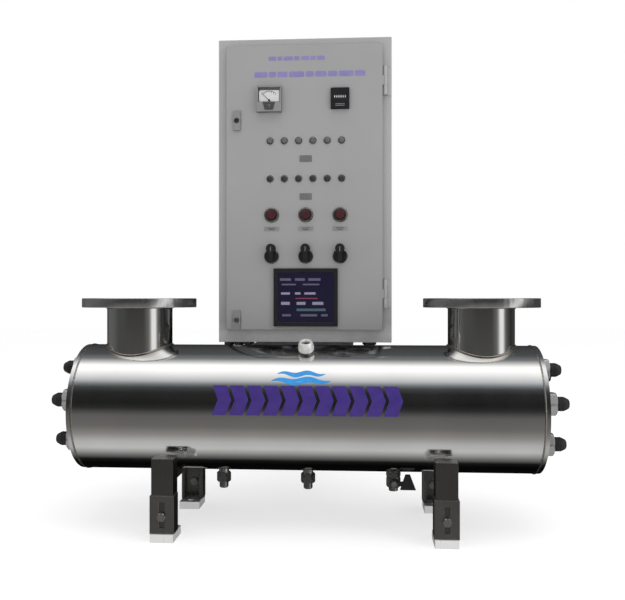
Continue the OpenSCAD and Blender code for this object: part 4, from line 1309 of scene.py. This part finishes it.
PANEL_STRENGTH = 1.25
SHADING_LIGHT = (0.80, 0.80, 0.81)
WHITE_LIGHT = (1, 1, 1)


def panels(steps, angle, bands):
    """Soft panels round a full turn: degrees, brightness as a screen grey, and warmth."""
    ramp = steps.node("ShaderNodeValToRGB")
    steps.link(steps.math("ADD", steps.math("DIVIDE", angle, 2 * math.pi), 0.5), ramp.inputs["Fac"])
    elements = ramp.color_ramp.elements
    elements.remove(elements[-1])
    for i, (degrees, grey, warmth) in enumerate(bands):
        spot = (degrees + 180) / 360
        element = elements[0] if i == 0 else elements.new(spot)
        element.position = spot
        light = from_screen(grey) * PANEL_STRENGTH
        element.color = (light * (1 + warmth), light, light * (1 - warmth), 1)
    return ramp.outputs["Color"]


def studio_world():
    """White to the camera, even light for shading, and a studio of soft panels in reflections."""
    world = bpy.data.worlds.new("studio")
    bpy.context.scene.world = world
    world.use_nodes = True
    steps = Nodes(world.node_tree)
    steps.tree.nodes.clear()

    def background(color):
        made = steps.node("ShaderNodeBackground")
        steps.feed(made.inputs["Color"], color)
        return made.outputs[0]

    def choose(amount, first, second):
        made = steps.node("ShaderNodeMixShader")
        for socket, value in zip(made.inputs, (amount, first, second)):
            steps.link(value, socket)
        return made.outputs[0]

    split = steps.node("ShaderNodeSeparateXYZ")
    steps.link(steps.node("ShaderNodeTexCoord").outputs["Generated"], split.inputs[0])
    x, y, z = split.outputs
    ahead = steps.math("MULTIPLY", y, -1.0)
    # Round the long axis: 0 is the front, 90 overhead, -90 below
    along = panels(steps, steps.math("ARCTAN2", z, ahead), (
        (-180, 10, 0), (-120, 5, 0), (-105, 20, 0), (-92, 110, 0), (-74, 184, 0), (-60, 172, 0),
        (-45, 130, 0.04), (-30, 100, 0.04), (-10, 90, 0.02), (3, 40, 0), (12, 24, 0), (32, 32, 0),
        (42, 62, -0.05), (48, 118, -0.05), (55, 185, -0.03), (68, 235, 0), (78, 262, 0), (87, 260, 0),
        (96, 190, 0), (104, 115, -0.04), (118, 74, -0.04), (165, 45, 0),
    ))
    # Round the upright axis: 0 is the front, 90 to the right
    upright = panels(steps, steps.math("ARCTAN2", x, ahead), (
        (-180, 20, 0), (-160, 20, 0), (-142, 55, 0), (-115, 95, 0), (-85, 90, 0), (-65, 72, 0),
        (0, 66, 0), (28, 80, 0), (46, 100, 0), (53, 160, 0), (58, 235, 0), (71, 235, 0),
        (77, 140, 0), (84, 85, 0), (108, 42, 0), (140, 60, 0), (180, 20, 0),
    ))
    sideways = steps.spread(steps.math("ABSOLUTE", x), 0, 1, 0.45, 0.65)
    level = steps.spread(steps.math("ABSOLUTE", z), 0, 1, 0.75, 0.5)
    studio = background(steps.mix(steps.math("MULTIPLY", sideways, level), along, upright))
    path = steps.node("ShaderNodeLightPath")
    shading = choose(path.outputs["Is Glossy Ray"], background(SHADING_LIGHT), studio)
    seen = choose(path.outputs["Is Camera Ray"], shading, background(WHITE_LIGHT))
    steps.link(seen, steps.node("ShaderNodeOutputWorld").inputs["Surface"])


def soft_light(name, size, position, target, power):
    data = bpy.data.lights.new(name, "AREA")
    data.shape = "RECTANGLE"
    data.size, data.size_y = size
    data.energy = power
    lamp = add_object(name, data)
    lamp.matrix_world = Matrix.Translation(position) @ (
        (Vector(position) - Vector(target)).to_track_quat("Z", "Y").to_matrix().to_4x4()
    )
    lamp.visible_glossy = False


def floor():
    mesh = bmesh.new()
    bmesh.ops.create_grid(mesh, x_segments=24, y_segments=24, size=9)
    data = bpy.data.meshes.new("floor")
    mesh.to_mesh(data)
    mesh.free()
    pale = (0.56, 0.56, 0.56)
    finish = Finish("floor_paper", pale, roughness=0.9)
    tinted(finish, pale, 0.01, 3)
    finish.put("Emission Color", WHITE_LIGHT)
    finish.put("Emission Strength", 0.55)
    data.materials.append(finish.material)
    piece = add_object("floor", data)
    piece.visible_glossy = False


def camera():
    data = bpy.data.cameras.new("camera")
    data.lens = CAMERA_LENS
    data.sensor_width = 36
    data.clip_end = 50
    eye = add_object("camera", data)
    right = Vector((math.cos(CAMERA_AZIMUTH), math.sin(CAMERA_AZIMUTH), 0))
    back = Vector((math.sin(CAMERA_AZIMUTH), -math.cos(CAMERA_AZIMUTH), 0))
    eye.location = right * CAMERA_SIDE + back * CAMERA_DISTANCE + UP * CAMERA_HEIGHT
    eye.rotation_euler = (math.pi / 2, 0, CAMERA_AZIMUTH)
    bpy.context.scene.camera = eye


studio_world()
floor()
soft_light("overhead", (2.4, 1.4), (0.2, -0.8, 2.6), (0, 0, 0.4), 16)
soft_light("left_fill", (1.2, 1.8), (-2.2, -1.8, 1.2), (0, 0, 0.5), 3)
soft_light("right_fill", (1.2, 1.4), (2.2, -1.6, 0.9), (0, 0, 0.5), 12)
soft_light("low_fill", (2.0, 0.5), (0.1, -1.7, 0.3), (0, 0.1, 0.35), 6)
camera()
bpy.context.scene.view_settings.view_transform = "Standard"
